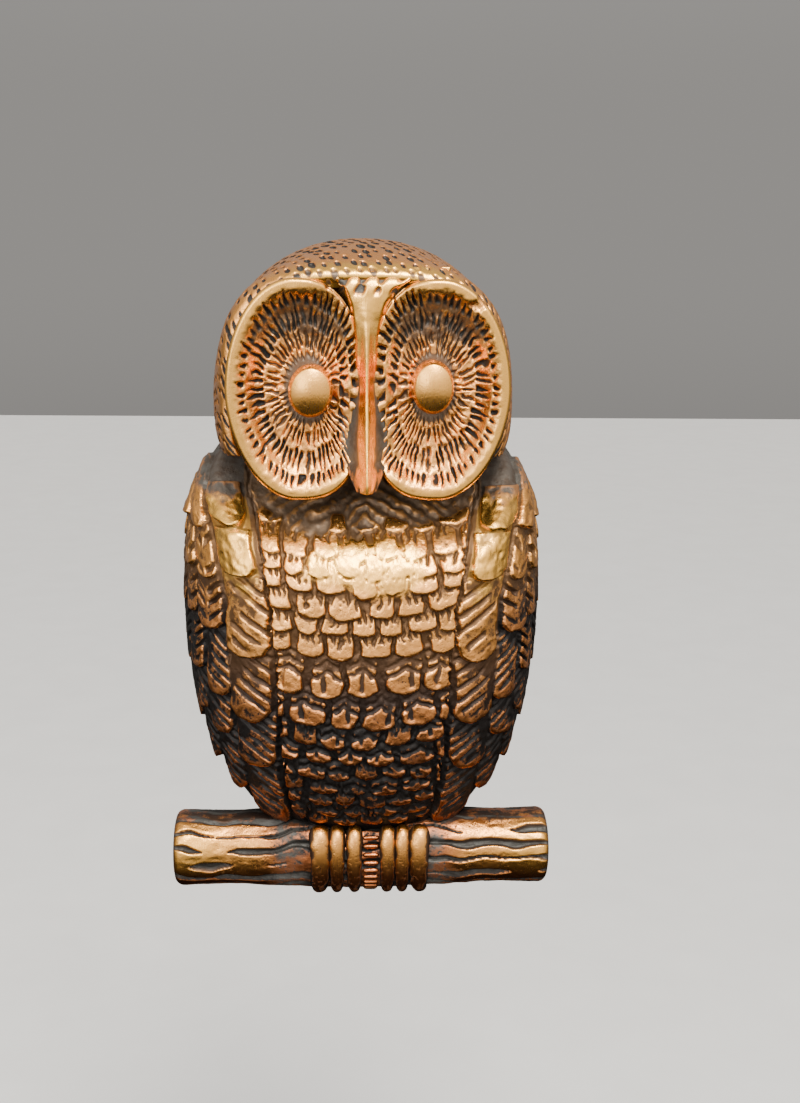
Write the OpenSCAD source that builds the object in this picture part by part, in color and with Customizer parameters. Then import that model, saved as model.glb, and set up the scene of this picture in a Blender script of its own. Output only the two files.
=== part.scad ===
// Owl door knocker. The fixed head hides a hinge, and the body with its branch swings from it.
// Origin: on the door, midway between the two fixing studs. +Z up, -Y out of the door, +X to the right.

/* [Head casting] */
// Width of the head across the cheeks
head_w = 77.6; // [64:0.2:94]
// Height of the crown above the origin
crown_z = 68; // [64:1:76]
// Height of the widest part of the head
cheek_z = 28; // [26:1:31]
// Height of the lowest points of the facial discs
chin_z = 4; // [3:0.5:6]
// How far the facial rim stands in front of the door
face_depth = 40; // [37:0.5:48]
// How far the tip of the beak stands in front of the door
beak_depth = 50; // [48:0.5:60]
// Sideways distance of each eye from the middle
eye_x = 14.8; // [12:0.2:18]
// Height of the eyes
eye_z = 31.8; // [29:0.2:35]
// Radius of each domed eye
eye_r = 6.6; // [5:0.1:8]

/* [Body casting] */
// Width of the body across the wings
body_w = 96; // [80:0.2:115]
// How far the breast stands in front of the door
body_depth = 47.5; // [40:0.5:57]
// Height of the widest part of the body
wing_z = -24; // [-30:1:-20]
// Height of the lower end of the tail, inside the branch
tail_z = -100; // [-106:1:-98]
// Clearance between the rear edge of the body and the door
body_standoff = 5; // [4:0.5:8]
// Gap between the head's lower edge and the shoulders
neck_gap = 1.3; // [0.8:0.1:3]
// Wall thickness of both castings
wall = 3.5; // [2.5:0.1:4.5]

/* [Branch] */
// Length of the branch
branch_len = 101; // [84:1:122]
// Radius of the branch
branch_r = 10.4; // [8.7:0.1:12.5]
// Height of the middle of the branch
branch_z = -94.5; // [-100:0.5:-91]
// How far the middle of the branch stands in front of the door
branch_depth = 24; // [22:0.5:27]
// Radius of each toe
toe_r = 2.5; // [2:0.1:2.8]
// Distance between the toes of one foot
toe_pitch = 5.2; // [4.4:0.1:6.3]
// Distance between the middles of the feet
foot_spacing = 19; // [17:0.5:26]

/* [Hinge] */
// Height of the hinge axis
pivot_z = 20.5; // [20:0.5:23]
// How far the hinge axis stands in front of the door
pivot_depth = 15; // [13:0.5:17]
// Radius of the hinge pin
pin_r = 2.5; // [2:0.1:3]
// Radial running clearance between the pin and its bushes
pin_clearance = 0.05; // [0.02:0.01:0.1]
// Wall thickness of a bush
bush_wall = 1; // [0.8:0.1:1.5]
// Length of a bush
bush_len = 9; // [6:0.5:12]
// Wall of the barrel round the bushes
barrel_wall = 2; // [1.5:0.1:2.4]
// Length of the hinge barrel on the body
barrel_len = 29; // [24:1:36]
// Thickness of a thrust washer
washer_t = 0.8; // [0.5:0.1:1.2]
// Thickness of a hinge ear on the plate
ear_t = 3; // [2.5:0.1:4]
// Side play left at each thrust washer
side_play = 0.2; // [0.1:0.05:0.4]
// Thickness of the head of the pin
pin_head_t = 1.6; // [1.2:0.1:2]
// Thickness of the snap ring
clip_t = 0.8; // [0.6:0.1:1]

/* [Back plate and strike] */
// Thickness of the plate
plate_t = 3; // [2.5:0.1:4]
// Radius of the round upper part of the plate
plate_r = 28; // [26:0.5:30]
// Width of the strap that runs down behind the body
strap_w = 26; // [20:1:30]
// Radius of the strike button
button_r = 6; // [5:0.2:8]
// Thickness of the head of the strike button
button_h = 4.6; // [3.5:0.1:6]
// Radius of the shank of the strike button
button_shank_r = 2; // [1.5:0.1:2.5]
// Gap left between the striking nub and the button at rest
strike_gap = 0.3; // [0.2:0.05:0.5]
// Radius of the striking nub on the branch
nub_r = 4.5; // [3.5:0.1:6]

/* [Fixings] */
// Distance between the two fixing studs
stud_spacing = 100; // [90:1:104]
// Radius of a fixing stud
stud_r = 3; // [2.5:0.1:4]
// Length of a stud that stands out behind the plate
stud_len = 45; // [30:1:60]
// Depth that a stud is screwed in past the plate
stud_grip = 10; // [6:0.5:14]
// Radius of the head screws
screw_r = 2; // [1.5:0.1:2.5]
// Depth that a head screw reaches into its boss
screw_grip = 10; // [6:0.5:14]
// Sideways distance of each head screw from the middle
screw_x = 18; // [15:0.5:20]
// Height of the head screws
screw_z = 42; // [38:0.5:46]
// Radial play of a thread in its hole
thread_play = 0.05; // [0.02:0.01:0.1]

/* [Hidden] */
$fn = 48;

SEGMENTS = 40;        // points round one contour of a casting
EPS = 0.01;           // overlap that joins two solids
SHOULDER_RISE = 1.09; // how steeply the body narrows above its widest part

neck_edge_z = 15;     // height of the head's lower edge at the sides of the neck
lip_t = 3.6;          // thickness of the lip under the facial discs
shoulder_z = neck_edge_z - neck_gap;
barrel_r = pin_r + pin_clearance + bush_wall + barrel_wall;
bush_r = pin_r + pin_clearance + bush_wall;
ear_x = barrel_len / 2 + washer_t + side_play;
ear_r = barrel_r;
pin_end = ear_x + ear_t + side_play;
clip_groove_r = pin_r - 0.5;
clip_r = pin_r + 2;
screw_head_r = 2 * screw_r;
stud_root_r = stud_r - 0.5;   // length of a stud that is screwed into its boss
stud_seat_r = stud_r + 1.2;   // recess at the door side for the shoulder of a stud
stud_seat = 0.5;
stud_boss_r = stud_r + 4;
screw_boss_r = screw_r + 2.8;
boss_end = 0.83 * face_depth;
branch_round = 2.5;   // rounding of the ends of the branch
button_round = 1.2;   // rounding of the face of the button
nub_face = plate_t + button_h + strike_gap;
button_clearance = 2.5; // room for the button in the rear edge of the tail
plate_mid_z = (screw_z + pivot_z) / 2;

// Contours of the head from the door outwards: shares of its depth, half width, crown and chin.
HEAD_PROFILE = [
    [0.00, 1.000, 1.000, 1.000],
    [0.32, 1.000, 1.000, 1.000],
    [0.53, 0.990, 0.970, 0.995],
    [0.69, 0.970, 0.920, 0.990],
    [0.82, 0.945, 0.865, 0.985],
    [0.93, 0.915, 0.820, 0.980],
    [0.98, 0.885, 0.790, 0.955],
    [0.98, 0.850, 0.755, 0.915],
    [0.92, 0.760, 0.660, 0.800],
    [0.86, 0.450, 0.400, 0.450],
    [0.84, 0.050, 0.050, 0.050]
];

// Contours of the body from its rear edge outwards: shares of its depth, half width, shoulder and tail.
BODY_PROFILE = [
    [0.00, 1.000, 1.000, 1.000],
    [0.16, 0.993, 1.000, 0.995],
    [0.28, 0.975, 0.950, 0.982],
    [0.40, 0.945, 0.865, 0.957],
    [0.52, 0.895, 0.745, 0.917],
    [0.62, 0.830, 0.620, 0.860],
    [0.73, 0.740, 0.540, 0.780],
    [0.82, 0.640, 0.460, 0.680],
    [0.905, 0.520, 0.350, 0.550],
    [0.965, 0.370, 0.240, 0.380],
    [0.993, 0.200, 0.110, 0.200],
    [1.00, 0.030, 0.015, 0.030]
];

// Signed power, which turns a circle's points into a rounder or squarer outline.
function spow(v, e) = sign(v) * pow(abs(v), e);

// One closed contour at depth y: half width w, heights above and below mid_z, squareness of each half.
// Its top is cut flat at the height cap above mid_z.
function contour(y, w, up, down, mid_z, n_up, n_down, cap) = [
    for (i = [0 : SEGMENTS - 1])
        let (a = 360 * i / SEGMENTS,
             n = sin(a) >= 0 ? n_up : n_down,
             x = w * spow(cos(a), 2 / n),
             z = sin(a) >= 0 ? min(cap, up * spow(sin(a), 2 / n)) : down * spow(sin(a), 2 / n))
        [x, -y, mid_z + z]
];

// A list in the opposite order.
function reversed(list) = [for (i = [len(list) - 1 : -1 : 0]) list[i]];

// A hollow casting, open at the rear: its inner contours from the front back, then its outer ones.
module casting(inner, outer) {
    contours = concat(reversed(inner), outer);
    rings = len(contours);
    points = [for (c = contours) each c];
    walls = [
        for (r = [0 : rings - 2], i = [0 : SEGMENTS - 1])
            let (j = (i + 1) % SEGMENTS, a = r * SEGMENTS, b = a + SEGMENTS)
            each [[a + i, b + j, a + j], [a + i, b + i, b + j]]
    ];
    inner_end = [for (i = [0 : SEGMENTS - 1]) i];
    outer_end = [for (i = [SEGMENTS - 1 : -1 : 0]) (rings - 1) * SEGMENTS + i];
    polyhedron(points = points, faces = concat([inner_end], walls, [outer_end]), convexity = 6);
}

// Contours of the head from the door outwards, drawn in by inset on every side but the rear.
function head_contours(inset) = [
    for (p = HEAD_PROFILE)
        contour(p[0] == 0 ? 0 : p[0] * face_depth - inset, p[1] * (head_w / 2 - inset),
                p[2] * (crown_z - cheek_z - inset), p[3] * (cheek_z - chin_z - inset),
                cheek_z, 2.15, 3.2, crown_z)
];

// Contours of the body from its rear edge outwards, drawn in by inset on every side but the rear.
function body_contours(inset) = [
    for (p = BODY_PROFILE)
        contour(body_standoff + (p[0] == 0 ? 0 : p[0] * (body_depth - body_standoff) - inset),
                p[1] * (body_w / 2 - inset), p[1] * SHOULDER_RISE * (body_w / 2 - inset),
                p[3] * (wing_z - tail_z - inset), wing_z, 2.6, 2.25, p[2] * (shoulder_z - wing_z - inset))
];

// A cylinder that runs out of the door, from depth a to depth b.
module post(x, z, r, a, b) {
    translate([x, -a, z]) rotate([90, 0, 0]) cylinder(r = r, h = b - a);
}

// A cylinder along X on the hinge axis, from x = a to x = b.
module axle(r, a, b) {
    translate([a, -pivot_depth, pivot_z]) rotate([0, 90, 0]) cylinder(r = r, h = b - a);
}

// Space that the neck and the shoulders swing in, under and behind the facial discs.
module neck_opening() {
    slope = neck_edge_z - chin_z;
    translate([-head_w, 0, 0]) rotate([90, 0, 90]) linear_extrude(2 * head_w)
        polygon([
            [1, chin_z - slope],
            [lip_t - face_depth, chin_z - slope],
            [lip_t - face_depth, chin_z],
            [lip_t + slope - face_depth, neck_edge_z],
            [1, neck_edge_z]
        ]);
}

// Brow, nose ridge and beak, from the tops of the discs to the tip.
module brow_and_beak() {
    brow_z = cheek_z + 0.45 * (crown_z - cheek_z);
    for (side = [-1, 1])
        hull() {
            translate([side * eye_x, 2.5 - face_depth, brow_z + 10]) sphere(r = 2.5, $fn = 16);
            translate([0, 2.2 - face_depth, brow_z]) sphere(r = 3, $fn = 16);
        }
    hull() {
        translate([0, 2.2 - face_depth, brow_z]) sphere(r = 3, $fn = 16);
        translate([0, 6 - beak_depth, eye_z - 14]) sphere(r = 4.6, $fn = 16);
    }
    hull() {
        translate([0, 6 - beak_depth, eye_z - 14]) sphere(r = 4.6, $fn = 16);
        translate([0, 2.2 - beak_depth, chin_z + 4.8]) sphere(r = 2.2, $fn = 16);
        translate([0, 4 - face_depth, chin_z + 10]) sphere(r = 3, $fn = 16);
    }
}

module head_casting() {
    color("peru") difference() {
        union() {
            difference() {
                casting(head_contours(wall), head_contours(0));
                neck_opening();
            }
            brow_and_beak();
            for (side = [-1, 1]) {
                translate([side * eye_x, eye_r - 2.2 - face_depth, eye_z]) sphere(r = eye_r);
                post(side * screw_x, screw_z, screw_boss_r, plate_t, boss_end);
            }
            post(0, stud_spacing / 2, stud_boss_r, plate_t, boss_end);
        }
        for (side = [-1, 1])
            post(side * screw_x, screw_z, screw_r + thread_play, plate_t - 1, plate_t + screw_grip + 1);
        post(0, stud_spacing / 2, stud_root_r + thread_play, plate_t - 1, plate_t + stud_grip + 1);
    }
}

// A round log along X with rounded ends.
module branch() {
    half = branch_len / 2;
    corner = half - branch_round;
    translate([0, -branch_depth, branch_z]) rotate([0, 90, 0]) rotate_extrude()
        polygon(concat(
            [[0, -half]],
            [for (a = [0 : 15 : 90]) [branch_r + branch_round * (sin(a) - 1), -corner - branch_round * cos(a)]],
            [for (a = [90 : -15 : 0]) [branch_r + branch_round * (sin(a) - 1), corner + branch_round * cos(a)]],
            [[0, half]]
        ));
}

// One toe that curls over the front of the branch, with a round tip at each end.
module toe(x) {
    bend = branch_r + toe_r / 3;
    hull()
        for (a = [-50, 0, 55])
            translate([x, -branch_depth - bend * cos(a), branch_z - bend * sin(a)])
                sphere(r = toe_r, $fn = 16);
}

module body_casting() {
    web_w = 0.75 * barrel_len;
    color("sienna") difference() {
        union() {
            difference() {
                casting(body_contours(wall), body_contours(0));
                post(0, branch_z, button_r + button_clearance, 0, nub_face + button_clearance);
            }
            branch();
            for (side = [-1, 1], k = [-1, 0, 1])
                toe(side * foot_spacing / 2 + k * toe_pitch);
            axle(barrel_r, -barrel_len / 2, barrel_len / 2);
            translate([-web_w / 2, -pivot_depth - barrel_r, shoulder_z - wall])
                cube([web_w, 2 * barrel_r, pivot_z - shoulder_z + wall]);
            post(0, branch_z, nub_r, nub_face, branch_depth);
        }
        axle(pin_r + 1, -barrel_len / 2 + bush_len - EPS, barrel_len / 2 - bush_len + EPS);
        for (side = [-1, 1])
            axle(bush_r, side * (barrel_len / 2 + 1) - (side > 0 ? bush_len + 1 : 0),
                 side * (barrel_len / 2 + 1) + (side > 0 ? 0 : bush_len + 1));
    }
}

// An ear that carries the pin, from x = a outwards for its thickness.
module ear(a) {
    difference() {
        union() {
            axle(ear_r, a, a + ear_t);
            translate([a, -pivot_depth, pivot_z - ear_r]) cube([ear_t, pivot_depth - plate_t + EPS, 2 * ear_r]);
        }
        axle(pin_r + pin_clearance, a - 1, a + ear_t + 1);
    }
}

// Outline of the plate on the door: a round upper part and a strap down to the strike.
module plate_outline() {
    strap_end_z = branch_z - branch_r + strap_w / 2 + 1;
    translate([0, plate_mid_z]) circle(r = plate_r);
    translate([0, stud_spacing / 2]) circle(r = stud_boss_r);
    translate([-strap_w / 2, strap_end_z]) square([strap_w, plate_mid_z - strap_end_z]);
    translate([0, strap_end_z]) circle(r = strap_w / 2);
}

module back_plate() {
    color("goldenrod") difference() {
        union() {
            rotate([90, 0, 0]) linear_extrude(plate_t) plate_outline();
            ear(ear_x);
            mirror([1, 0, 0]) ear(ear_x);
            post(0, -stud_spacing / 2, stud_boss_r, plate_t - EPS, plate_t + stud_grip);
        }
        for (z = [-1, 1]) {
            post(0, z * stud_spacing / 2, stud_root_r + thread_play, -1, plate_t + stud_grip + 1);
            post(0, z * stud_spacing / 2, stud_seat_r, -1, stud_seat);
        }
        for (side = [-1, 1]) {
            post(side * screw_x, screw_z, screw_r + thread_play, -1, plate_t + 1);
            translate([side * screw_x, EPS, screw_z]) rotate([90, 0, 0])
                cylinder(r1 = screw_head_r + 0.1, r2 = screw_r + thread_play, h = screw_r + 0.1);
        }
        post(0, branch_z, button_shank_r + thread_play, -1, plate_t + 1);
    }
}

module hinge_pin() {
    groove = pin_end + clip_t + side_play / 2;
    color("silver") difference() {
        union() {
            axle(pin_r, -pin_end, groove + 1.5);
            axle(1.6 * pin_r, -pin_end - pin_head_t, -pin_end + EPS);
        }
        difference() {
            axle(pin_r + 1, pin_end, groove);
            axle(clip_groove_r, pin_end - 1, groove + 1);
        }
    }
}

module hinge_bushes() {
    color("darkgoldenrod") for (side = [0, 1])
        mirror([side, 0, 0]) difference() {
            axle(bush_r, barrel_len / 2 - bush_len, barrel_len / 2);
            axle(pin_r + pin_clearance, barrel_len / 2 - bush_len - 1, barrel_len / 2 + 1);
        }
}

module thrust_washers() {
    start = barrel_len / 2 + side_play / 2;
    color("gainsboro") for (side = [0, 1])
        mirror([side, 0, 0]) difference() {
            axle(barrel_r, start, start + washer_t);
            axle(pin_r + 2 * pin_clearance, start - 1, start + washer_t + 1);
        }
}

module pin_clip() {
    start = pin_end + side_play / 4;
    slot = 1.6 * clip_groove_r;
    color("dimgray") difference() {
        axle(clip_r, start, start + clip_t);
        axle(clip_groove_r + pin_clearance, start - 1, start + clip_t + 1);
        translate([start - 1, -pivot_depth - slot / 2, pivot_z]) cube([clip_t + 2, slot, 2 * clip_r]);
    }
}

module head_screws() {
    color("silver") for (side = [-1, 1]) {
        post(side * screw_x, screw_z, screw_r, 0, plate_t + screw_grip);
        translate([side * screw_x, 0, screw_z]) rotate([90, 0, 0])
            cylinder(r1 = screw_head_r, r2 = screw_r, h = screw_r);
    }
}

module strike_button() {
    flat = button_r - button_round;
    face = plate_t + button_h;
    color("gold") translate([0, 0, branch_z]) rotate([90, 0, 0]) rotate_extrude()
        polygon(concat(
            [[0, 0], [button_shank_r, 0], [button_shank_r, plate_t], [button_r, plate_t]],
            [for (a = [0 : 15 : 90]) [flat + button_round * cos(a), face - button_round * (1 - sin(a))]],
            [[0, face]]
        ));
}

// A threaded stud, shown by its outer diameter, with a chamfered free end.
module stud(z) {
    translate([0, -plate_t - stud_grip, z]) rotate([-90, 0, 0]) {
        cylinder(r = stud_root_r, h = plate_t + stud_grip);
        translate([0, 0, plate_t + stud_grip - stud_seat]) cylinder(r = stud_r, h = stud_len + stud_seat - 1);
        translate([0, 0, plate_t + stud_grip + stud_len - 1]) cylinder(r1 = stud_r, r2 = stud_r - 0.8, h = 1);
    }
}

module upper_stud() {
    color("lightgray") stud(stud_spacing / 2);
}

module lower_stud() {
    color("lightgray") stud(-stud_spacing / 2);
}

head_casting();
body_casting();
back_plate();
hinge_pin();
hinge_bushes();
thrust_washers();
pin_clip();
head_screws();
strike_button();
upper_stud();
lower_stud();
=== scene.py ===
"""Visual model of a cast owl door knocker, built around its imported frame.

The frame gives the fixed head and the swinging body. This script replaces the two plain castings with
sculpted ones, threads the studs, and gives every piece its finish. Lengths are in millimetres while a
surface is worked out, and in metres once it is a mesh.
"""

from __future__ import annotations

import logging
import math
from dataclasses import astuple, dataclass
from enum import Enum
from typing import Sequence

import bpy
import bmesh
import numpy as np
from mathutils import Matrix, Vector


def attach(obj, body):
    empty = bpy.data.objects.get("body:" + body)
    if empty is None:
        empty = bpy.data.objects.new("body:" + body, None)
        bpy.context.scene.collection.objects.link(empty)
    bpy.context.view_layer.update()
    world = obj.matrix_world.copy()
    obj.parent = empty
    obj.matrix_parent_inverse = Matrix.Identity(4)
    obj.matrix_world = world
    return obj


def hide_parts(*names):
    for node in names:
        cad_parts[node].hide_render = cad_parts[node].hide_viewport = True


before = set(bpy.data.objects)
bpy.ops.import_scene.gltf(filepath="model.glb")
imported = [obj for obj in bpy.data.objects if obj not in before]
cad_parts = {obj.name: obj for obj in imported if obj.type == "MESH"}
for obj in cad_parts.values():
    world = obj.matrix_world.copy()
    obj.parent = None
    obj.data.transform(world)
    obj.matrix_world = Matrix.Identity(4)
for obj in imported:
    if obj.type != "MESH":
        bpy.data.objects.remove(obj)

LOG = logging.getLogger("owl_knocker")
MM = 0.001
TAU = 2.0 * math.pi
Array = np.ndarray


# ---------------------------------------------------------------- numbers and noise


def smooth(low: float | Array, high: float | Array, value: float | Array) -> Array:
    """Smooth step from 0 at low to 1 at high."""
    t = np.clip((value - low) / (high - low), 0.0, 1.0)
    return t * t * (3.0 - 2.0 * t)


def mix(a: float | Array, b: float | Array, t: float | Array) -> Array:
    """Linear blend from a at t = 0 to b at t = 1."""
    return a + (b - a) * t


def soft_min(a: Array, b: Array, width: float) -> Array:
    """The smaller of two fields, with the crease between them rounded over width."""
    t = np.clip(0.5 + 0.5 * (b - a) / width, 0.0, 1.0)
    return mix(b, a, t) - width * t * (1.0 - t)


@dataclass(frozen=True)
class Noise:
    """Repeatable value noise on a plane."""

    seed: int

    def value(self, x: Array, y: Array) -> Array:
        """Noise from 0 to 1 with one lattice cell per unit.

        Args:
            x: First coordinate.
            y: Second coordinate, of the same shape.

        Returns:
            The noise at each point.
        """
        table = np.random.default_rng(self.seed).random((128, 128))
        xi = np.floor(x).astype(int)
        yi = np.floor(y).astype(int)
        fx = x - xi
        fy = y - yi
        fx = fx * fx * (3.0 - 2.0 * fx)
        fy = fy * fy * (3.0 - 2.0 * fy)
        x0, x1 = xi % 128, (xi + 1) % 128
        y0, y1 = yi % 128, (yi + 1) % 128
        low = mix(table[x0, y0], table[x1, y0], fx)
        high = mix(table[x0, y1], table[x1, y1], fx)
        return mix(low, high, fy)

    def fractal(self, x: Array, y: Array, size: float, octaves: int = 3) -> Array:
        """Layered noise from -1 to 1.

        Args:
            x: First coordinate.
            y: Second coordinate.
            size: Size of the largest lumps.
            octaves: Number of layers, each half the size of the last.

        Returns:
            The noise at each point.
        """
        total = np.zeros_like(x, dtype=float)
        weight, scale, full = 1.0, 1.0 / size, 0.0
        for layer in range(octaves):
            total += weight * self.value(x * scale + 17.3 * layer, y * scale + 9.1 * layer)
            full += weight
            weight *= 0.55
            scale *= 2.0
        return 2.0 * total / full - 1.0


def blurred(field: Array, radius: int) -> Array:
    """A field smoothed by two passes of a box blur along both directions.

    Args:
        field: Values on a grid.
        radius: Half size of the box, in cells.

    Returns:
        The smoothed field.
    """
    out = field.astype(float)
    for axis in (0, 1, 0, 1):
        pad = [(0, 0), (0, 0)]
        pad[axis] = (radius + 1, radius)
        total = np.cumsum(np.pad(out, pad, mode="edge"), axis=axis)
        count = out.shape[axis]
        high = np.take(total, np.arange(2 * radius + 1, 2 * radius + 1 + count), axis=axis)
        low = np.take(total, np.arange(0, count), axis=axis)
        out = (high - low) / (2 * radius + 1)
    return out


# ---------------------------------------------------------------- surfaces


@dataclass
class Surface:
    """A grid of points on which a relief can be raised.

    Attributes:
        points: Rows by columns by 3, in millimetres.
    """

    points: Array

    def normals(self) -> Array:
        """Unit normals of the grid, pointing away from its middle."""
        p = self.points
        n = np.cross(np.gradient(p, axis=0), np.gradient(p, axis=1))
        length = np.linalg.norm(n, axis=2, keepdims=True)
        n = n / np.maximum(length, 1e-9)
        middle = p.reshape(-1, 3).mean(axis=0)
        outward = np.sum((n * (p - middle)).reshape(-1, 3).sum(axis=0))
        return n if outward >= 0.0 else -n

    def raised(self, relief: Array, normals: Array | None = None) -> Array:
        """The points moved out along their normals by relief."""
        n = self.normals() if normals is None else normals
        return self.points + n * relief[..., None]


@dataclass(frozen=True)
class Coat:
    """How the finish, with its painted shade and highlights, lies on one sculpted surface: fields from 0 to 1
    on its grid.

    Attributes:
        wear_and_shade: 0 in a dark recess or under painted shade, 1 on a rubbed high spot.
        polish_and_highlight: 1 where the metal is brushed bright or carries a painted highlight.
        raw: 1 where the casting is grey and was never polished.
    """

    wear_and_shade: Array
    polish_and_highlight: Array
    raw: Array


def coat_from(relief: Array, reach: int, depth: float, polish_and_highlight: Array, raw: Array) -> Coat:
    """Works out the wear of a relief from how it stands above its neighbourhood.

    Args:
        relief: Height of the surface above its base, in millimetres.
        reach: Radius of the neighbourhood, in cells.
        depth: Height difference that counts as fully worn, in millimetres.
        polish_and_highlight: Where the metal is brushed bright or carries a painted highlight.
        raw: Where the casting is grey.

    Returns:
        The coat of the surface.
    """
    near = relief - blurred(relief, max(2, reach // 3))
    far = relief - blurred(relief, reach)
    wear_and_shade = np.clip(0.52 + near / depth * 0.7 + far / depth * 0.6, 0.0, 1.0)
    return Coat(wear_and_shade, np.clip(polish_and_highlight, 0.0, 1.0), np.clip(raw, 0.0, 1.0))


def strip_faces(fine: Sequence[int], coarse: Sequence[int]) -> list[tuple[int, int, int]]:
    """Triangles between a fine edge and a coarse edge that run the same way."""
    faces = []
    per = (len(fine) - 1) // (len(coarse) - 1)
    for j in range(len(coarse) - 1):
        half = j * per + per // 2
        for k in range(j * per, half):
            faces.append((coarse[j], fine[k], fine[k + 1]))
        faces.append((coarse[j], fine[half], coarse[j + 1]))
        for k in range(half, (j + 1) * per):
            faces.append((coarse[j + 1], fine[k], fine[k + 1]))
    return faces


def make_object(
    name: str, points: Array, faces: list, coat: Coat | None = None, smoothed: bool = True
) -> bpy.types.Object:
    """A mesh object in metres, with outward faces.

    Args:
        name: Name of the piece.
        points: Points in millimetres, one per row.
        faces: Lists of point numbers.
        coat: Wear with painted shade, polish with painted highlights, and raw for the first points; the rest
            are left dark and raw.
        smoothed: Whether the faces shade smoothly.

    Returns:
        The new object, linked to the scene.
    """
    mesh = bpy.data.meshes.new(name)
    mesh.from_pydata((np.asarray(points) * MM).tolist(), [], faces)
    work = bmesh.new()
    work.from_mesh(mesh)
    bmesh.ops.recalc_face_normals(work, faces=work.faces)
    work.to_mesh(mesh)
    work.free()
    mesh.polygons.foreach_set("use_smooth", [smoothed] * len(mesh.polygons))
    for title, rest in (("wear_and_shade", 0.2), ("polish_and_highlight", 0.0), ("raw", 0.7)):
        values = np.full(len(points), rest)
        if coat is not None:
            given = getattr(coat, title).ravel()
            values[: given.size] = given
        mesh.attributes.new(title, "FLOAT", "POINT").data.foreach_set("value", values.astype(np.float32))
    mesh.update()
    made = bpy.data.objects.new(name, mesh)
    bpy.context.scene.collection.objects.link(made)
    return made


COARSE = 4  # fine cells of an outer skin to one cell of the skin behind it


def shell(name: str, outer: Array, inner: Array, coat: Coat) -> bpy.types.Object:
    """A closed casting wall between a fine outer skin and a coarse inner one.

    Args:
        name: Name of the piece.
        outer: Fine grid; its rows and columns less one divide by COARSE.
        inner: The skin behind it, on every COARSE-th row and column.
        coat: Finish of the outer skin.

    Returns:
        The piece.
    """
    rows, cols = outer.shape[:2]
    r, c = inner.shape[:2]
    ids = np.arange(rows * cols).reshape(rows, cols)
    back = rows * cols + np.arange(r * c).reshape(r, c)
    faces = quads(ids) + quads(back)
    borders = ((ids[0], back[0]), (ids[-1], back[-1]), (ids[:, 0], back[:, 0]), (ids[:, -1], back[:, -1]))
    for fine, coarse in borders:
        faces += strip_faces(fine.tolist(), coarse.tolist())
    points = np.concatenate([outer.reshape(-1, 3), inner.reshape(-1, 3)])
    return make_object(name, points, faces, coat)


def quads(ids: Array) -> list[list[int]]:
    """The four-sided faces of a grid of point numbers."""
    a, b, c, d = ids[:-1, :-1], ids[:-1, 1:], ids[1:, 1:], ids[1:, :-1]
    return np.stack([a, b, c, d], axis=-1).reshape(-1, 4).tolist()


def capped(name: str, rings: Array, coat: Coat | None = None, smoothed: bool = True) -> bpy.types.Object:
    """A closed solid through rings of points, with a point in the middle of each end.

    Args:
        name: Name of the piece.
        rings: Rings by points by 3, in millimetres.
        coat: Finish of the rings.
        smoothed: Whether the faces shade smoothly.

    Returns:
        The piece.
    """
    count, around = rings.shape[:2]
    ids = np.arange(count * around).reshape(count, around)
    faces = quads(np.concatenate([ids, ids[:, :1]], axis=1))
    ends = [rings[0].mean(axis=0), rings[-1].mean(axis=0)]
    for ring, middle in ((ids[0], count * around), (ids[-1], count * around + 1)):
        faces += [[int(ring[i]), int(ring[(i + 1) % around]), middle] for i in range(around)]
    return make_object(name, np.concatenate([rings.reshape(-1, 3), ends]), faces, coat, smoothed)


def resampled(line: Array, count: int) -> Array:
    """Points evenly spaced along each row of a grid of polylines.

    Args:
        line: Rows by samples by 3.
        count: Number of points wanted along each row.

    Returns:
        Rows by count by 3.
    """
    out = np.empty((line.shape[0], count, 3))
    for row, samples in enumerate(line):
        step = np.linalg.norm(np.diff(samples, axis=0), axis=1)
        along = np.concatenate([[0.0], np.cumsum(step)])
        wanted = np.linspace(0.0, along[-1], count)
        for axis in range(3):
            out[row, :, axis] = np.interp(wanted, along, samples[:, axis])
    return out


# ---------------------------------------------------------------- shader building


@dataclass(frozen=True)
class Wire:
    """A shader value that takes part in Python arithmetic."""

    tree: bpy.types.NodeTree
    socket: bpy.types.NodeSocket

    def _math(self, operation: str, first: "Wire | float", second: "Wire | float") -> "Wire":
        """A Math node on two values, clamped only where it is asked for later."""
        made = self.tree.nodes.new("ShaderNodeMath")
        made.operation = operation
        for slot, item in zip(made.inputs, (first, second)):
            if isinstance(item, Wire):
                self.tree.links.new(item.socket, slot)
            else:
                slot.default_value = item
        return Wire(self.tree, made.outputs[0])

    def __add__(self, other: "Wire | float") -> "Wire":
        """Sum."""
        return self._math("ADD", self, other)

    __radd__ = __add__

    def __mul__(self, other: "Wire | float") -> "Wire":
        """Product."""
        return self._math("MULTIPLY", self, other)

    __rmul__ = __mul__

    def __sub__(self, other: "Wire | float") -> "Wire":
        """Difference."""
        return self._math("SUBTRACT", self, other)

    def __rsub__(self, other: float) -> "Wire":
        """Difference from a number."""
        return self._math("SUBTRACT", other, self)

    def clamped(self) -> "Wire":
        """The value held between 0 and 1."""
        held = self._math("MAXIMUM", self, 0.0)
        return held._math("MINIMUM", held, 1.0)


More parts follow.
